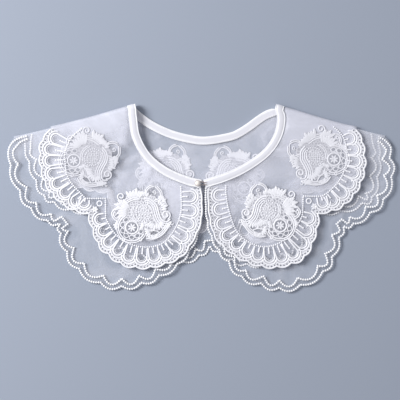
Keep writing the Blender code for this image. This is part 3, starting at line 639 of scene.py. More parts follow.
def rim_field(layer):
    """How far the front's free edges curl up off what they lie on, on a grid of points: a
    bell curve of the distance from the nearer edge, made uneven by two slow waves."""
    away = np.minimum(*[edge_distance(FIELD_POINTS, front_edge(side, layer), False)
                        for side in SIDES])
    x, y = FIELD_POINTS.T
    uneven = 0.65 + 0.35 * np.sin(x / 37 + 0.6) * np.cos(y / 29)
    return (RIM_LIFT * uneven * np.exp(-(away / RIM_REACH) ** 2)).reshape(FIELD_SHAPE)


SUPPORT = {layer: support_field(BACK[layer]) for layer in LAYERS}
RIM = {layer: rim_field(layer) for layer in LAYERS}


def sample(field, points):
    """A field's values at points, interpolated between its four nearest samples."""
    x = np.clip((points[:, 0] - FIELD_X[0]) / FIELD_STEP, 0, len(FIELD_X) - 1.001)
    y = np.clip((points[:, 1] - FIELD_Y[0]) / FIELD_STEP, 0, len(FIELD_Y) - 1.001)
    i, j = x.astype(int), y.astype(int)
    u, v = x - i, y - j
    return ((field[i, j] * (1 - u) + field[i + 1, j] * u) * (1 - v)
            + (field[i, j + 1] * (1 - u) + field[i + 1, j + 1] * u) * v)


def underside(points, panel, layer):
    """The height of the lower face of a layer's wall: a step for each layer under it, and
    on the front a loft that rises to the shoulders as a bell curve."""
    step = WALL + LAYER_GAP
    over_back_top = step * sample(SUPPORT["top"], points)
    if panel == "back":
        return over_back_top if layer == "under" else np.zeros(len(points))
    height = over_back_top + step * sample(SUPPORT["under"], points) + LOFT_EVERYWHERE
    for side in SIDES:
        away = np.linalg.norm(points - fold_frame(side)[0], axis=1)
        height += LOFT_AT_NECK * np.exp(-(away / LOFT_REACH) ** 2)
    return height if layer == "under" else height + step


def surface(points, panel, layer):
    """The height of a layer's thin cloth: the middle of its wall, with long soft ripples
    on the front that all the front's pieces share."""
    height = underside(points, panel, layer) + WALL / 2
    if panel == "back":
        return height
    x, y = points.T
    ripple = RIPPLE * np.sin(x / 21 + 1.3 * np.sin(y / 33)) * np.sin(y / 17 + x / 90)
    return height + ripple + sample(RIM[layer], points)


def cover_and_painted_light(points, panel):
    """How densely the cloth covers, with painted light mixed in, from 0 up to COVER_MOST: a smooth
    step up towards the shoulder folds, partly denser cloth and partly painted sheen, plus soft
    round patches of denser or thinner cloth and of painted sheen and painted shade."""
    low, high, most, slope = COVER_AND_SHEEN_FOLD
    x, y = points[:, 0], points[:, 1]
    total = most * smooth((y + slope * np.abs(x) - low) / (high - low))
    for px, py, reach, amount in COVER_AND_LIGHT_FRONT if panel == "front" else COVER_AND_LIGHT_BACK:
        total += amount * np.exp(-((x - px) ** 2 + (y - py) ** 2) / reach**2)
    return np.clip(total, 0, COVER_MOST)


def grid_quads(rows, columns, wrap_rows=False, wrap_columns=True):
    """Quads of a grid of points, closed across its columns, and its rows if asked."""
    i = np.arange(rows if wrap_rows else rows - 1)[:, None]
    j = np.arange(columns if wrap_columns else columns - 1)[None]
    following, beside = (i + 1) % rows, (j + 1) % columns
    corners = np.broadcast_arrays(i * columns + j, following * columns + j,
                                  following * columns + beside, i * columns + beside)
    return np.stack(corners, axis=-1).reshape(-1, 4)


def loft(rings, closed=False):
    """A closed skin over rings of points, with a fan of triangles over each open end."""
    count, around = rings.shape[:2]
    points = rings.reshape(-1, 3)
    quads = grid_quads(count, around, closed)
    if closed:
        return points, quads, np.zeros((0, 3), int)
    ends = np.array((rings[0].mean(axis=0), rings[-1].mean(axis=0)))
    j = np.arange(around)
    k = (j + 1) % around
    first, last = count * around, (count - 1) * around
    start = np.column_stack((np.full(around, first), j, k))
    end = np.column_stack((np.full(around, first + 1), last + k, last + j))
    return np.vstack((points, ends)), quads, np.vstack((start, end))


def cord(path, radius, flat=0.8, sides=6, closed=False):
    """A cord laid on the surface: an oval section carried along a path in the plane. The
    ends of an open one narrow as the root of the length that is left."""
    path = np.asarray(path, float)
    width = np.full(len(path), float(radius))
    if closed:
        sideways = -quarter_turn(unit(np.roll(path, -1, axis=0) - np.roll(path, 1, axis=0)))
    else:
        sideways = -left_of(path)
        where = along(path)
        end = np.minimum(where, where[-1] - where)
        width *= np.sqrt(np.clip(end / (1.2 * radius), 0.12, 1))
    angles = round_angles(sides)
    across = width[:, None] * np.cos(angles)
    up = width[:, None] * np.sin(angles) * flat
    plan = path[:, None] + across[:, :, None] * sideways[:, None]
    return loft(raised(plan, up), closed)


def petal(base, tip, width, height, steps=12):
    """A satin petal, widest past its middle: its half width is a power of the sine along
    it, and its height a circle's arc across it less a narrow groove in the middle."""
    base, tip = np.array(base, float), np.array(tip, float)
    run = tip - base
    share = np.linspace(0.02, 0.985, steps)
    half = width / 2 * np.sin(math.pi * share ** 1.25) ** 0.7
    across = np.array((-1, -0.8, -0.45, -0.12, 0, 0.12, 0.45, 0.8, 1))
    dome = np.sqrt(1 - 0.999 * across**2) * (1 - 0.42 * np.exp(-(across / 0.1) ** 2))
    spine = base + share[:, None] * run
    upper = spine[:, None] + (half[:, None] * across)[:, :, None] * quarter_turn(unit(run))
    rise = height * np.sqrt(half / (width / 2))[:, None] * dome
    under = upper[:, -2:0:-1]
    plan = np.concatenate((upper, under), axis=1)
    heights = np.concatenate((rise, np.full(under.shape[:2], -0.1)), axis=1)
    return loft(raised(plan, heights)[:, ::-1])


def copies(shape, places, runs=((1.0, 0.0),)):
    """The same small shape at each place in the plane, with its x along the unit vector
    that is given for the place, or for all of them."""
    points, quads, tris = shape
    places = np.asarray(places, float)
    runs = np.broadcast_to(runs, places.shape)
    plan = (places[:, None] + points[None, :, :1] * runs[:, None]
            + points[None, :, 1:2] * quarter_turn(runs)[:, None])
    heights = np.broadcast_to(points[:, 2], plan.shape[:2])
    offset = (np.arange(len(places)) * len(points))[:, None, None]
    return (raised(plan, heights).reshape(-1, 3), (quads + offset).reshape(-1, 4),
            (tris + offset).reshape(-1, 3))


def rounded(radius, height, levels, around, stretch=1.0):
    """Rings of a ball, one at each level in degrees: its reach is the radius by the level's
    cosine, with the stretch on y, and it lies at the height by the level's sine."""
    angles = -round_angles(around)
    return np.stack([np.column_stack((radius * math.cos(a) * np.cos(angles),
                                      radius * stretch * math.cos(a) * np.sin(angles),
                                      np.full(around, height * math.sin(a))))
                     for a in np.radians(levels)])


def bead(radius, height, around=8, stretch=1.0):
    """A low flattened bead, longer across the line that it sits on by the stretch."""
    points, quads, tris = loft(rounded(radius, height, (-60, -20, 25, 62), around, stretch))
    points[-2:, 2] = (-height, height)
    return points, quads, tris


def turned_plan(x, y, degrees):
    """Points in the plane turned about the origin."""
    cosine, sine = math.cos(math.radians(degrees)), math.sin(math.radians(degrees))
    return np.column_stack((x * cosine - y * sine, x * sine + y * cosine))


def ellipse(centre, half, steps, turn=0.0):
    """Points round an oval: cosine and sine by its half sizes, turned by degrees."""
    angles = round_angles(steps)
    return np.array(centre) + turned_plan(half[0] * np.cos(angles), half[1] * np.sin(angles), turn)


def circle(centre, radius, steps=16):
    """Points round a circle."""
    return ellipse(centre, (radius, radius), steps)


def ring(radius, thickness, steps=12):
    """A small ring of cord about the origin."""
    return cord(circle((0, 0), radius, steps), thickness, 0.8, 5, closed=True)


def merged(shapes):
    """Several shapes as one."""
    points, quads, tris, count = [], [], [], 0
    for shape in shapes:
        points.append(shape[0])
        quads.append(shape[1] + count)
        tris.append(shape[2] + count)
        count += len(shape[0])
    return np.vstack(points), np.vstack(quads), np.vstack(tris)


def laid(shape, panel, layer, lift=0.0):
    """A flat shape moved onto a layer of cloth, following its height."""
    points = shape[0].copy()
    points[:, 2] += surface(points[:, :2], panel, layer) + lift
    return points, shape[1], shape[2]


def add_piece(name, groups):
    """Makes an object from (shape, material) pairs."""
    points, quads, tris = merged([group[0] for group in groups])
    mesh = bpy.data.meshes.new(name)
    mesh.vertices.add(len(points))
    mesh.vertices.foreach_set("co", (points * MM).astype(np.float32).ravel())
    loops = np.concatenate((quads.ravel(), tris.ravel())).astype(np.int32)
    sizes = np.repeat((4, 3), (len(quads), len(tris)))
    mesh.loops.add(len(loops))
    mesh.loops.foreach_set("vertex_index", loops)
    mesh.polygons.add(len(sizes))
    mesh.polygons.foreach_set("loop_start", (np.cumsum(sizes) - sizes).astype(np.int32))
    slots = [np.full(len(shape[kind]), index) for kind in (1, 2)
             for index, (shape, _) in enumerate(groups)]
    mesh.polygons.foreach_set("material_index", np.concatenate(slots).astype(np.int32))
    mesh.update(calc_edges=True)
    mesh.validate()
    mesh.shade_smooth()
    for _, material in groups:
        mesh.materials.append(material)
    obj = bpy.data.objects.new(name, mesh)
    bpy.context.scene.collection.objects.link(obj)
    return obj


def keep_value(obj, name, values):
    """Writes a value for each vertex into a mesh, for its material to read."""
    attribute = obj.data.attributes.new(name, "FLOAT", "POINT")
    attribute.data.foreach_set("value", values.astype(np.float32))


def principled(name, colour, roughness, alpha=1.0, sheen=0.0, coat=0.0):
    """A material with its plain values set on its shader."""
    material = bpy.data.materials.new(name)
    material.use_nodes = True
    values = {"Base Color": (*colour, 1), "Roughness": roughness, "Alpha": alpha,
              "Sheen Weight": sheen, "Coat Weight": coat}
    for socket, value in values.items():
        shader_input(material, socket).default_value = value
    return material


def shader_input(material, socket):
    """A socket of the material's shader."""
    return material.node_tree.nodes["Principled BSDF"].inputs[socket]


def new_node(material, kind, values, links=()):
    """Adds a node with the given values on its inputs, and links outputs to its inputs."""
    node = material.node_tree.nodes.new("ShaderNode" + kind)
    for socket, value in values.items():
        node.inputs[socket].default_value = value
    for socket, output in links:
        material.node_tree.links.new(output, node.inputs[socket])
    return node


def texture(material, kind, values):
    """A texture node on Object coordinates."""
    place = new_node(material, "TexCoord", {})
    return new_node(material, "Tex" + kind, values, [("Vector", place.outputs["Object"])])


def mesh_value(material, name):
    """A value that the mesh keeps for each vertex."""
    node = new_node(material, "Attribute", {})
    node.attribute_name = name
    return node.outputs["Fac"]


def added(material, first, second):
    """The sum of two outputs."""
    return new_node(material, "Math", {}, [(0, first), (1, second)]).outputs[0]


def spread(material, value, ranges, clamp=True):
    """An output moved evenly from one range to another."""
    node = new_node(material, "MapRange", ranges, [("Value", value)])
    node.clamp = clamp
    return node.outputs["Result"]


def two_colours(material, value, *stops):
    """Colours a material by an output, evenly between two (place, colour) stops."""
    ramp = new_node(material, "ValToRGB", {}, [("Fac", value)])
    for element, (place, colour) in zip(ramp.color_ramp.elements, stops):
        element.position = place
        element.color = (*colour, 1)
    material.node_tree.links.new(ramp.outputs["Color"], shader_input(material, "Base Color"))


def add_bump(material, scale, strength, kind="noise"):
    """A fine relief in the material: noise, or for a weave the sum of two crossed waves."""
    if kind == "noise":
        height = texture(material, "Noise", {"Scale": scale, "Detail": 3}).outputs["Fac"]
    else:
        waves = [texture(material, "Wave", {"Scale": scale}) for _ in range(2)]
        waves[1].bands_direction = "Y"
        height = added(material, *[wave.outputs["Fac"] for wave in waves])
    bump = new_node(material, "Bump", {"Strength": strength, "Distance": BUMP_DEPTH},
                    [("Height", height)])
    material.node_tree.links.new(bump.outputs["Normal"], shader_input(material, "Normal"))


def openwork(material, hole, thread):
    """A ground of fine cells, coloured by the distance to a cell's edge: light along the
    threads and dark in the middle."""
    cells = texture(material, "Voronoi", {"Scale": 300})
    cells.voronoi_dimensions = "2D"
    cells.feature = "DISTANCE_TO_EDGE"
    two_colours(material, cells.outputs["Distance"], (0.08, thread), (0.32, hole))


def cloudy(material, thin, dense):
    """Sheer cloth that covers unevenly: its alpha runs evenly from thin to dense, and past it, with
    the sum of the mesh's own cover, which also carries painted sheen and painted shade, and soft
    clouds of noise."""
    cloud = texture(material, "Noise", {"Scale": 26, "Detail": 3, "Distortion": 1.3})
    soft = spread(material, cloud.outputs["Fac"],
                  {"From Min": 0.42, "From Max": 0.7, "To Max": 0.5})
    total = added(material, mesh_value(material, "cover_and_painted_light"), soft)
    alpha = spread(material, total, {"To Min": thin, "To Max": dense}, clamp=False)
    material.node_tree.links.new(alpha, shader_input(material, "Alpha"))


def double_edges(material, single, double):
    """A folded strip, coloured by the sum of the mesh's own edge value and slow noise:
    whiter along its edges, where the cloth lies double."""
    patches = texture(material, "Noise", {"Scale": 90}).outputs["Fac"]
    uneven = spread(material, patches, {"To Min": -0.3, "To Max": 0.3})
    total = added(material, mesh_value(material, "edge"), uneven)
    two_colours(material, total, (0.4, single), (0.72, double))


def make_materials():
    """Every finish of the collar."""
    made = {}
    for name, *looks, scale, strength, kind in FINISHES:
        made[name] = principled(name, *looks)
        add_bump(made[name], scale, strength, kind)
    for name, cover_range in SHEER.items():
        cloudy(made[name], *cover_range)
    for name, colours in OPENWORK.items():
        openwork(made[name], *colours)
    double_edges(made["satin"], *SATIN_EDGES)
    return made


def lattice_points(outline):
    """Staggered points inside an outline, clear of its edge."""
    low, high = outline.min(axis=0), outline.max(axis=0)
    row_step = LATTICE * math.sqrt(0.75)
    rows = np.arange(math.floor(low[1] / row_step), math.ceil(high[1] / row_step) + 1)
    columns = np.arange(math.floor(low[0] / LATTICE) - 1, math.ceil(high[0] / LATTICE) + 1)
    r, c = np.meshgrid(rows, columns, indexing="ij")
    points = np.column_stack((((c + 0.5 * (r % 2)) * LATTICE).ravel(), (r * row_step).ravel()))
    points = points[inside(points, outline)]
    return points[edge_distance(points, outline) > 0.4 * LATTICE]


def panel_surface(outline, panel, layer):
    """One panel as points and triangles, lifted to its height."""
    points = np.vstack((outline, lattice_points(outline)))
    count = len(outline)
    edges = [(i, (i + 1) % count) for i in range(count)]
    flat, _, faces, *_ = delaunay_2d_cdt([tuple(p) for p in points], edges, [], 1, 1e-4)
    flat = np.array([tuple(p) for p in flat])
    tris = np.array([tuple(face) for face in faces])
    if panel == "back":
        tris = tris[:, ::-1]
    heights = surface(flat, panel, layer)
    return np.column_stack((flat, heights)), np.zeros((0, 4), int), tris


def shoulder_surface(side, layer):
    """The bend that joins a front panel to the back at a shoulder: from each point of the
    fold, a half circle between the two layers' heights."""
    edge = fold_edge(side, layer)
    above, below = surface(edge, "front", layer), surface(edge, "back", layer)
    middle, radius = (above + below) / 2, (above - below) / 2
    angles = np.linspace(0, math.pi, FOLD_STEPS + 1)[:, None]
    plan = edge + (radius * np.sin(angles))[:, :, None] * fold_frame(side)[4]
    rings = raised(plan, middle + radius * np.cos(angles))
    quads = grid_quads(len(rings), len(edge), False, False)
    return (rings.reshape(-1, 3), quads if side == "left" else quads[:, ::-1],
            np.zeros((0, 3), int))


def cloth_layer(name, layer, material):
    """One layer of organza as a single thin folded sheet."""
    shapes = [panel_surface(BACK[layer], "back", layer)]
    for side in SIDES:
        shapes.append(panel_surface(OUTLINES[layer, side], "front", layer))
        shapes.append(shoulder_surface(side, layer))
    obj = add_piece(name, [(merged(shapes), material)])
    panels = ["back"] + ["front"] * 4
    # The cover value mixes the cloth's density with painted sheen and painted shade
    keep_value(obj, "cover_and_painted_light", np.concatenate([cover_and_painted_light(shape[0], panel)
                                             for shape, panel in zip(shapes, panels)]))
    weld = obj.modifiers.new("seams", "WELD")
    weld.merge_threshold = WELD_REACH * MM
    wall = obj.modifiers.new("cloth", "SOLIDIFY")
    wall.thickness = CLOTH * MM
    wall.offset = 0
    return obj


def on_panel(curve, outline):
    """The part of a curve that lies on a panel."""
    return curve[inside(curve, outline)]


def bead_lines(curves, panel, layer, pitch=BEAD_PITCH, radius=BEAD_RADIUS, thread=0.5):
    """Beads along curves, each across the line, on a thread that carries them."""
    shapes = []
    shape = bead(radius, BEAD_HEIGHT, stretch=BEAD_STRETCH)
    lift = BEAD_LIFT if panel == "front" else 0.0
    for curve in curves:
        places = evenly(curve, pitch)
        beads = copies(shape, places, -quarter_turn(left_of(places)))
        shapes.append(laid(beads, panel, layer, lift))
        shapes.append(laid(cord(evenly(curve, 1.5), thread, 0.7), panel, layer, lift * 0.5))
    return merged(shapes)


def hem(material, net):
    """The under layer's double beaded scallops, on the front and round the back, over a band of
    dark net that is painted shade between the lines of beads. Each line is the edge moved in, led
    up to the shoulder folds by the points of its table."""
    shapes, nets = [], []
    # These nets are the dark hem net, painted shade between the lines of beads
    for side in SIDES:
        nets.append(laid(band(partial(front_edge, side, "under"), *HEM_NET_AND_SHADE), "front", "under",
                         NET_LIFT))
    nets.append(laid(band(partial(back_edge, "under"), *HEM_NET_AND_SHADE), "back", "under", NET_LIFT))
    for row, (inset, cusp) in enumerate(((HEM_INSET, 0.0), (HEM_INSET + HEM_SPACING, HEM_CUSP))):
        fronts = []
        for side in SIDES:
            wrap = np.array(HEM_WRAP[side][row])
            line = on_panel(front_edge(side, "under", inset, cusp), OUTLINES["under", side])
            line = line[line[:, 1] < wrap[-1][1] - HEM_LEAD]
            fronts.append(joined(through(np.vstack((wrap, line[:1])), 1.0), line))
        shapes.append(bead_lines(fronts, "front", "under"))
        line = on_panel(back_edge("under", inset, cusp), BACK["under"])
        line = line[line[:, 1] < HEM_BACK_TOP]
        left, right = (np.array(HEM_BACK_START[side][row]) for side in SIDES)
        line = joined(through(np.vstack((left, line[:1])), 1.0), line,
                      through(np.vstack((line[-1:], right[::-1])), 1.0))
        shapes.append(bead_lines([line], "back", "under"))
    return add_piece("hem_beading", [(merged(shapes), material), (merged(nets), net)])


def border_loop(root, end, half_root, half_end):
    """One loop of the lace border: two straight sides and a half circle round the end, a
    second arc round the end, a fine row of stitches inside it, and a bar with a knot."""
    reach = np.linalg.norm(end - root)
    run = (end - root) / reach
    side = quarter_turn(run)
    stop = root + run * (reach - half_end)
    angles = np.linspace(-math.pi / 2, math.pi / 2, 13)
    shapes = []
    for grow, radius in LOOP_ARCS:
        arc = stop + (half_end + grow) * ways(angles) @ np.array((run, side))
        if grow == 0.0:
            share = np.linspace(0.03, 0.9, 6)[:, None]
            first, last = root - side * half_root, root + side * half_root
            arc = np.vstack((first + share * (arc[0] - first), arc,
                             (last + share * (arc[-1] - last))[::-1]))
        shapes.append(cord(arc, radius))
    bar = root + np.linspace(0.05, 0.62, 6)[:, None] * (stop - root)
    return merged(shapes + [cord(bar, 1.0), copies(bead(1.3, 0.9), bar[-1:])])


def border(rim, inner, count):
    """The looped border between a line of beads and the rim: a loop to each scallop, from
    the nearest point of the line of beads."""
    ends = at_lengths(rim, (np.arange(count) + 0.5) / count * along(rim)[-1])
    fine = evenly(inner, 0.5)
    roots = fine[np.linalg.norm(ends[:, None] - fine[None], axis=2).argmin(axis=1)]
    gaps = np.linalg.norm(np.diff(roots, axis=0), axis=1)
    half_root = min(0.47 * np.median(gaps), LOOP_WIDEST)
    half_end = min(0.43 * np.linalg.norm(np.diff(ends, axis=0), axis=1).mean(), LOOP_WIDEST)
    return [border_loop(root, end - unit(end - root) * LOOP_END, half_root, half_end)
            for root, end in zip(roots, ends)]


def band(edge_at, first, last):
    """A narrow strip of denser net along an edge, between two insets from it."""
    outer, inner = edge_at(first, 0.0), edge_at(last, 0.0)
    rings = np.stack([np.column_stack((line, np.full(len(line), height)))
                      for line, height in ((outer, 0.0), (inner, 0.0), (inner, NET_THICKNESS),
                                           (outer, NET_THICKNESS))], axis=1)
    return loft(rings)


def eyelets(edge_at):
    """Where the rim's eyelets are."""
    return evenly(edge_at(EYELET_INSET, EYELET_CUSP), EYELET_PITCH)


def rim(edge_at):
    """The top layer's scalloped rim: a cord along the edge and a row of eyelets."""
    return merged([cord(evenly(edge_at(RIM_CORD_INSET, 0.0), 1.2), RIM_CORD),
                   copies(ring(*EYELET_RING), eyelets(edge_at))])


def inward(curve, distance, outward):
    """A curve moved in by a distance."""
    return curve - outward * distance * left_of(curve)


def top_edging(material, net, shade):
    """The top layer's border on both fronts and round the back, where the corners between
    two lobes have no loop."""
    shapes, nets, holes = [], [], []
    # Dark discs in the eyelets: painted shade for the shaded layer seen through them
    hole = bead(EYELET_HOLE, HOLE_HEIGHT)
    for side in SIDES:
        edge_at = partial(front_edge, side, "top")
        nets.append(laid(band(edge_at, *RIM_NET), "front", "top", NET_LIFT))
        holes.append(laid(copies(hole, eyelets(edge_at)), "front", "top", HOLE_LIFT))
        flat = [rim(edge_at)]
        inner = [through(BORDER_SHOULDER[side]), through(BORDER_LOBE[side])]
        for (rows, count), line in zip(FRONT_LOBES["top"], inner):
            flat += border(scalloped(rows[side], count, OUTWARD[side]), line, count)
        flat.append(cord(circle(CORNER_RING[side], 3.0), 0.8, closed=True))
        petals = circle(CORNER_FLOWER[side], 4.2, 6)
        flat += [petal(CORNER_FLOWER[side], tip, 2.6, 0.9, 8) for tip in petals]
        shapes.append(laid(merged(flat), "front", "top", LACE_LIFT))
        lines = inner + [np.array(BORDER_CORNER[side], float)]
        shapes.append(bead_lines(lines, "front", "top", *BORDER_BEADS))
    edge_at = partial(back_edge, "top")
    nets.append(laid(band(edge_at, *RIM_NET), "back", "top", NET_LIFT))
    flat = [rim(edge_at)]
    for rows, count in BACK_LOBES["top"]:
        line = inward(through(np.array(rows)[:, :2]), BORDER_DEPTH, -1)
        flat += border(scalloped(rows, count, -1), line, count)[1:-1]
    shapes.append(laid(merged(flat), "back", "top"))
    return add_piece("top_edging", [(merged(shapes), material), (merged(nets), net),
                                    (merged(holes), shade)])


def spiral(x, y, outer, first, turns):
    """Points of a curl: the radius falls evenly from the outer one to a fifth of it."""
    share = np.linspace(0, 1, 36)
    angles = math.radians(first) + share * turns * 2 * math.pi
    return (x, y) + (outer * (1 - 0.8 * share))[:, None] * ways(angles)


def window_places():
    """Centre and turn of each oval window between the wheel's hub and its rim."""
    reach = (WHEEL_HUB + WHEEL_RIM) / 2 + 0.3
    for angle in WINDOW_ANGLES:
        yield WHEEL + reach * ways(math.radians(angle)), angle + 90


def scrolls():
    """The corded lines: scrolls with their echoes, each further in and thinner, and spiral
    curls."""
    shapes = []
    for radius, echoes, pitch, points in SCROLLS:
        curve = evenly(through(points, 1.0), 0.8)
        for number in range(echoes + 1):
            trim = 2 * number
            line = inward(curve, number * pitch, 1)[trim:len(curve) - trim]
            shapes.append(cord(line, radius * (1 - 0.12 * number), *SCROLL_CORD))
    for x, y, outer, radius, first, turns in CURLS:
        curl = evenly(spiral(x, y, outer, first, turns), 0.6)
        shapes.append(cord(curl, radius, *SCROLL_CORD))
    return shapes


def fans():
    """Fans of satin petals, each a little longer or shorter than its neighbours."""
    shapes = []
    for x, y, first, last, count, inner, outer, width in FANS:
        for number, angle in enumerate(np.radians(np.linspace(first, last, count))):
            reach = outer * (1 - 0.09 * math.cos(2.3 * number + x))
            base, tip = ((x, y) + ways(angle) * share for share in (inner, reach))
            shapes.append(petal(base, tip, width, 0.9))
    return shapes


def wheel():
    """A wheel of cords: a flower in its hub, and a rim of oval windows."""
    shapes = [petal(WHEEL, tip, 2.2, 0.7, 8) for tip in circle(WHEEL, 5.2, 7)]
    shapes.append(cord(circle(WHEEL, WHEEL_HUB + 0.8, 28), 0.9, *SCROLL_CORD, closed=True))
    for reach, radius in ((WHEEL_RIM, 0.9), (WHEEL_RIM + 2.2, 0.7)):
        shapes.append(cord(circle(WHEEL, reach, 60)[19:57], radius, *SCROLL_CORD))
    for place, turn in window_places():
        edge = ellipse(place, (WINDOW[0] + 0.4, WINDOW[1] + 0.4), 14, turn)
        shapes.append(cord(edge, 0.6, 0.9, closed=True))
    return shapes


def oval_net():
    """An oval of crossed threads with knots inside it and a row of beads round it."""
    centre, half = np.array(OVAL_NET), np.array(OVAL_HALF)
    shapes = []
    for offset in np.arange(-18, 19, 3.4):
        for slope in (1, -1):
            line = evenly(np.array(((-12.0, -12.0 * slope + offset),
                                    (12.0, 12.0 * slope + offset))), 1.0)
            kept = line[((line / (half - 1)) ** 2).sum(axis=1) < 1]
            if len(kept) > 3:
                shapes.append(cord(kept + centre, 0.3, 0.8, 5))
    shapes.append(copies(bead(0.95, 0.8), evenly(ellipse(centre, half, 60), 2.6)))
    for share, count in ((0.68, 11), (0.34, 5)):
        shapes.append(copies(bead(0.8, 0.7), ellipse(centre, half * share, count, 20)))
    return shapes


def on_ground(shapes):
    """Shapes of a medallion as one, raised onto its ground."""
    points, quads, tris = merged(shapes)
    return points + UP * PLATE_HEIGHT, quads, tris


def cutwork():
    """Painted shade in the medallion's openings: low dark plates in the wheel's hub and its
    windows, which stand for what shows through them in shade."""
    plates = [copies(bead(WHEEL_HUB, HOLE_HEIGHT, 24), [WHEEL])]
    window = bead(WINDOW[0], HOLE_HEIGHT, 12, WINDOW[1] / WINDOW[0])
    for place, turn in window_places():
        plates.append(copies(window, [place], ways(math.radians(turn))))
    return plates


def ground_plate():
    """The dense satin ground that the ornament is worked on: an oval, its reach varied by
    three cosines of the angle, with a rounded edge."""
    angles = round_angles(96)
    reach = (1 + 0.07 * np.cos(3 * angles + 0.7) + 0.05 * np.cos(7 * angles)
             + 0.035 * np.cos(17 * angles + 1))
    edge = reach[:, None] * ways(angles) * PLATE_HALF + (PLATE_SHIFT, 0.0)
    rings = [np.column_stack((edge * share, np.full(96, height))) for share, height in PLATE_RINGS]
    return loft(np.stack(rings)[:, ::-1])


def turned(shape, degrees, mirrored):
    """A shape mirrored across if mirrored is -1, and then turned."""
    points, quads, tris = shape
    plan = turned_plan(points[:, 0] * mirrored, points[:, 1], degrees)
    moved = np.column_stack((plan, points[:, 2]))
    return (moved, quads, tris) if mirrored > 0 else (moved, quads[:, ::-1], tris[:, ::-1])


def medallions(material):
    """Every medallion, laid on the top layer."""
    layers = ((on_ground(scrolls() + fans() + wheel() + oval_net()), " thread"),
              (ground_plate(), " ground"), (on_ground(cutwork()), " shade"))
    made = {}
    for name, (panel, x, y, degrees, mirrored, relief, shading_tone) in MEDALLIONS.items():
        lift = MEDALLION_LIFT if panel == "front" else 0.0
        groups = []
        for shape, finish in layers:
            points, quads, tris = turned(shape, degrees, mirrored)
            moved = points * (MEDALLION_SIZE, MEDALLION_SIZE, relief) + np.array((x, y, 0.0))
            # The shading tone picks the lit or shaded copy of the thread, ground and shade, as
            # painted light
            groups.append((laid((moved, quads, tris), panel, "top", lift), material[shading_tone + finish]))
        made[name] = add_piece("worked_" + name, groups)
    return made


def binding_run(middle, panel, outward):
    """Stations of the binding on one panel. A station is three vectors: its middle, the
    unit vector sideways to the cloth, and the one out of its face."""
    plan, sideways = neck_run(middle, BINDING_STEP)
    heights = underside(plan, panel, "top" if panel == "back" else "under")
    face = UP if panel == "front" else -UP
    return np.stack((np.column_stack((plan, heights)),
                     np.column_stack((sideways * outward, np.zeros(len(plan)))),
                     np.tile(face, (len(plan), 1))), axis=1)


def from_fold(run, side):
    """A run whose first stations turn evenly from the shoulder fold to the run's own way."""
    share = (np.arange(BLENDED) / BLENDED)[:, None]
    fold = np.array((*fold_frame(side)[1], 0.0))
    run[:BLENDED, 1] = unit(fold * (1 - share) + run[:BLENDED, 1] * share)
    return run


def binding_corner(side, front, back):
    """Stations round a shoulder fold, on a half circle from the front down to the back."""
    _, run, _, _, out = fold_frame(side)
    middle, radius = (front + back) / 2, (front[2] - back[2]) / 2
    angles = np.linspace(0, math.pi, CORNER_STEPS + 1)[1:-1, None]
    faces = np.array((*out, 0.0)) * np.sin(angles) + UP * np.cos(angles)
    sideways = np.broadcast_to((*run, 0.0), faces.shape)
    return np.stack((middle + faces * radius, sideways, faces), axis=1)


def binding_path():
    """The binding's stations round the whole neckline, from the left front end to the right."""
    fronts = {side: from_fold(binding_run(NECK_FRONT[side], "front", OUTWARD[side]), side)
              for side in SIDES}
    for run in fronts.values():
        run[:, 0] += UP * STACK / 2
    back = from_fold(binding_run(NECK_BACK, "back", -1), "left")
    back = from_fold(back[::-1], "right")[::-1]
    back[:, 0] += UP * BINDING_LIFT
    left = binding_corner("left", fronts["left"][0, 0], back[0, 0])
    right = binding_corner("right", fronts["right"][0, 0], back[-1, 0])
    return np.concatenate((fronts["left"][::-1], left, back, right[::-1], fronts["right"]))


def stitches(starts, ends, sideways):
    """Short raised stitches from starts to ends, each a diamond in section that is thinner
    at both ends."""
    ups = unit(np.cross(ends - starts, sideways))
    section = np.stack((sideways, ups, -sideways, -ups), axis=1) * STITCH_HALF
    rings = np.stack([(starts * (1 - share) + ends * share)[:, None] + section * size
                      for share, size in ((0.0, 0.4), (0.2, 1.0), (0.8, 1.0), (1.0, 0.4))], axis=1)
    return merged([loft(ring_set) for ring_set in rings])


def binding_section(where, faces):
    """The strip's section at every station: how far across each of its points lies, and how
    high. Its face is low powers of the sine of the angle across it, which give square
    rolled edges and a soft crown, less a groove along each stitch line, a bell curve of the
    distance from it, that puckers in a wave along the strip."""
    half = BINDING_WIDTH / 2
    across = half * np.concatenate((FACE_ACROSS, (0,), -FACE_ACROSS[::-1]))
    sine = np.sin(np.arccos(across / half))
    groove = np.exp(-((np.abs(across) - GROOVE_AT) / GROOVE_WIDTH) ** 2)
    pucker = PUCKER * np.sin(where * 1.05 + 2 * np.sin(where * 0.13))[:, None]
    crown = BINDING_CROWN * np.clip(faces[:, 2], 0, 1)[:, None]
    top = (BINDING_LIFT - EDGE_DROP * (1 - sine**0.12) + crown * sine**0.35
           + (pucker - GROOVE_DEPTH) * groove)
    across = np.concatenate((across, half * BACK_ACROSS, -half * BACK_ACROSS[::-1]))
    rise = np.concatenate((BACK_RISE, BACK_RISE[::-1])) - BINDING_LIFT
    bottom = np.broadcast_to(rise, (len(where), len(rise)))
    return across, np.concatenate((top, bottom), axis=1)


def stitch_rows(where, middles, sideways, faces):
    """Four rows of stitches, two on the binding's face and two underneath, at equal steps."""
    count = round(where[-1] / STITCH_PITCH)
    begins = (np.arange(count) + 0.2) * where[-1] / count
    across = sideways[np.searchsorted(where, begins)]
    rows = []
    for height in (BINDING_LIFT - 0.2, 0.05 - BINDING_LIFT):
        for side in (-1, 1):
            row = middles + sideways * side * GROOVE_AT + faces * height
            spans = [np.column_stack([np.interp(begins + step, where, column) for column in row.T])
                     for step in (0.0, STITCH_LENGTH)]
            rows.append(stitches(*spans, across))
    return rows


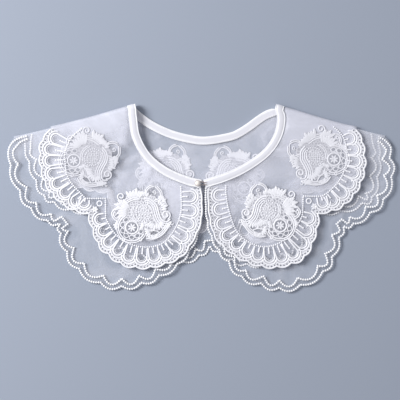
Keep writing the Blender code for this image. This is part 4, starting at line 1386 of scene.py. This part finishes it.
def neck_binding(material):
    """The satin strip round the whole neckline: its section carried along its stations."""
    middles, sideways, faces = binding_path().transpose(1, 0, 2)
    steps = np.linalg.norm(np.diff(middles, axis=0), axis=1)
    where = np.concatenate(([0.0], np.cumsum(steps)))
    across, heights = binding_section(where, faces)
    rings = (middles[:, None] + across[:, None] * sideways[:, None]
             + heights[:, :, None] * faces[:, None])
    shapes = [loft(rings[:, ::-1])] + stitch_rows(where, middles, sideways, faces)
    obj = add_piece("satin_binding", [(merged(shapes), material)])
    edge = np.ones(len(obj.data.vertices))
    edge[:rings[..., 0].size] = np.tile(np.abs(across[::-1]) / (BINDING_WIDTH / 2), len(rings))
    keep_value(obj, "edge", edge)
    return obj


def binding_top(x, y):
    """The height of the front binding's face at a point."""
    low = underside(np.array(((x, y),)), "front", "under")[0]
    return low + STACK + BINDING_OVER / 2 + BINDING_CROWN


def pearl(material):
    """The pearl on the left end of the binding: a ball of rings."""
    radius = PEARL_DIAMETER / 2
    points, quads, tris = loft(rounded(radius, radius, np.linspace(-85, 85, 25), 40))
    points += np.array((*PEARL_AT, binding_top(*PEARL_AT) + SEAM_GAP + radius))
    return add_piece("pearl", [((points, quads, tris), material)])


def thread_loop(material):
    """The loop from the right end of the binding, in an arc round the pearl's foot."""
    arc = PEARL_AT + LOOP_RADIUS * ways(np.radians(np.linspace(40, 320, 40)))
    x, y = LOOP_ROOT
    route = np.vstack(((x, y + LOOP_HALF_WIDTH), arc, (x, y - LOOP_HALF_WIDTH)))
    points, quads, tris = cord(evenly(route, 0.6), LOOP_CORD, 1.0, 8)
    points = points + UP * (binding_top(*PEARL_AT) + SEAM_GAP + LOOP_FOOT)
    return add_piece("thread_loop", [((points, quads, tris), material)])


def build():
    """Makes every piece, hides the solids that it stands for and hangs it on the body."""
    material = make_materials()
    under = cloth_layer("under_organza", "under", material["under organza"])
    top = cloth_layer("top_organza", "top", material["top organza"])
    beads = hem(material["hem beading"], material["hem net and painted shade"])
    edging = top_edging(material["embroidery thread"], material["rim net"],
                        material["eyelet shade"])
    worked = medallions(material)
    satin = neck_binding(material["satin"])
    button = pearl(material["pearl"])
    loop = thread_loop(material["loop thread"])
    body = next(iter(frame["bodies"]))
    pieces = [(under, "under_organza", "under_layer"), (top, "top_organza", "top_layer"),
              (beads, "white_embroidery", "beaded_hem"),
              (edging, "white_embroidery", "lace_border"),
              (satin, "satin_binding", "neck_binding"), (button, "pearl", "pearl_button"),
              (loop, "loop_thread", "button_loop")]
    pieces += [(obj, "white_embroidery", name) for name, obj in worked.items()]
    for obj, slot, solids in pieces:
        nodes = [name for name in frame["nodes"] if name.startswith(solids)]
        if nodes:
            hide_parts(*nodes)
        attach(obj, body)


def add_set():
    """A plain pale surface, soft light from the upper left and a camera straight above."""
    scene = bpy.context.scene
    bpy.ops.mesh.primitive_plane_add(size=FLOOR_SIZE, location=(0, 0, -FLOOR_DROP))
    floor = bpy.context.object
    floor.name = "plain_floor"
    material = principled("plain floor", FLOOR_COLOUR, 0.8)
    add_bump(material, 60, 0.05)
    floor.data.materials.append(material)
    scene.world = bpy.data.worlds.new("soft light")
    scene.world.use_nodes = True
    sky = scene.world.node_tree.nodes["Background"]
    sky.inputs["Color"].default_value = (*SKY_COLOUR, 1)
    sky.inputs["Strength"].default_value = SKY_STRENGTH
    light = bpy.data.lights.new("window", "AREA")
    light.size = WINDOW_SIZE
    light.energy = WINDOW_POWER
    window = bpy.data.objects.new("window", light)
    window.location = WINDOW_AT
    x, y, z = unit(np.array(WINDOW_AT))
    window.rotation_euler = (math.acos(z), 0, math.atan2(y, x) + math.pi / 2)
    scene.collection.objects.link(window)
    camera = bpy.data.objects.new("camera", bpy.data.cameras.new("camera"))
    camera.location = CAMERA_AT
    camera.data.angle = 2 * math.atan(HALF_VIEW / CAMERA_AT[2])
    scene.collection.objects.link(camera)
    scene.camera = camera


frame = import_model()
build()
add_set()
bpy.context.scene.cycles.transparent_max_bounces = 64
bpy.context.scene.view_settings.view_transform = "Standard"
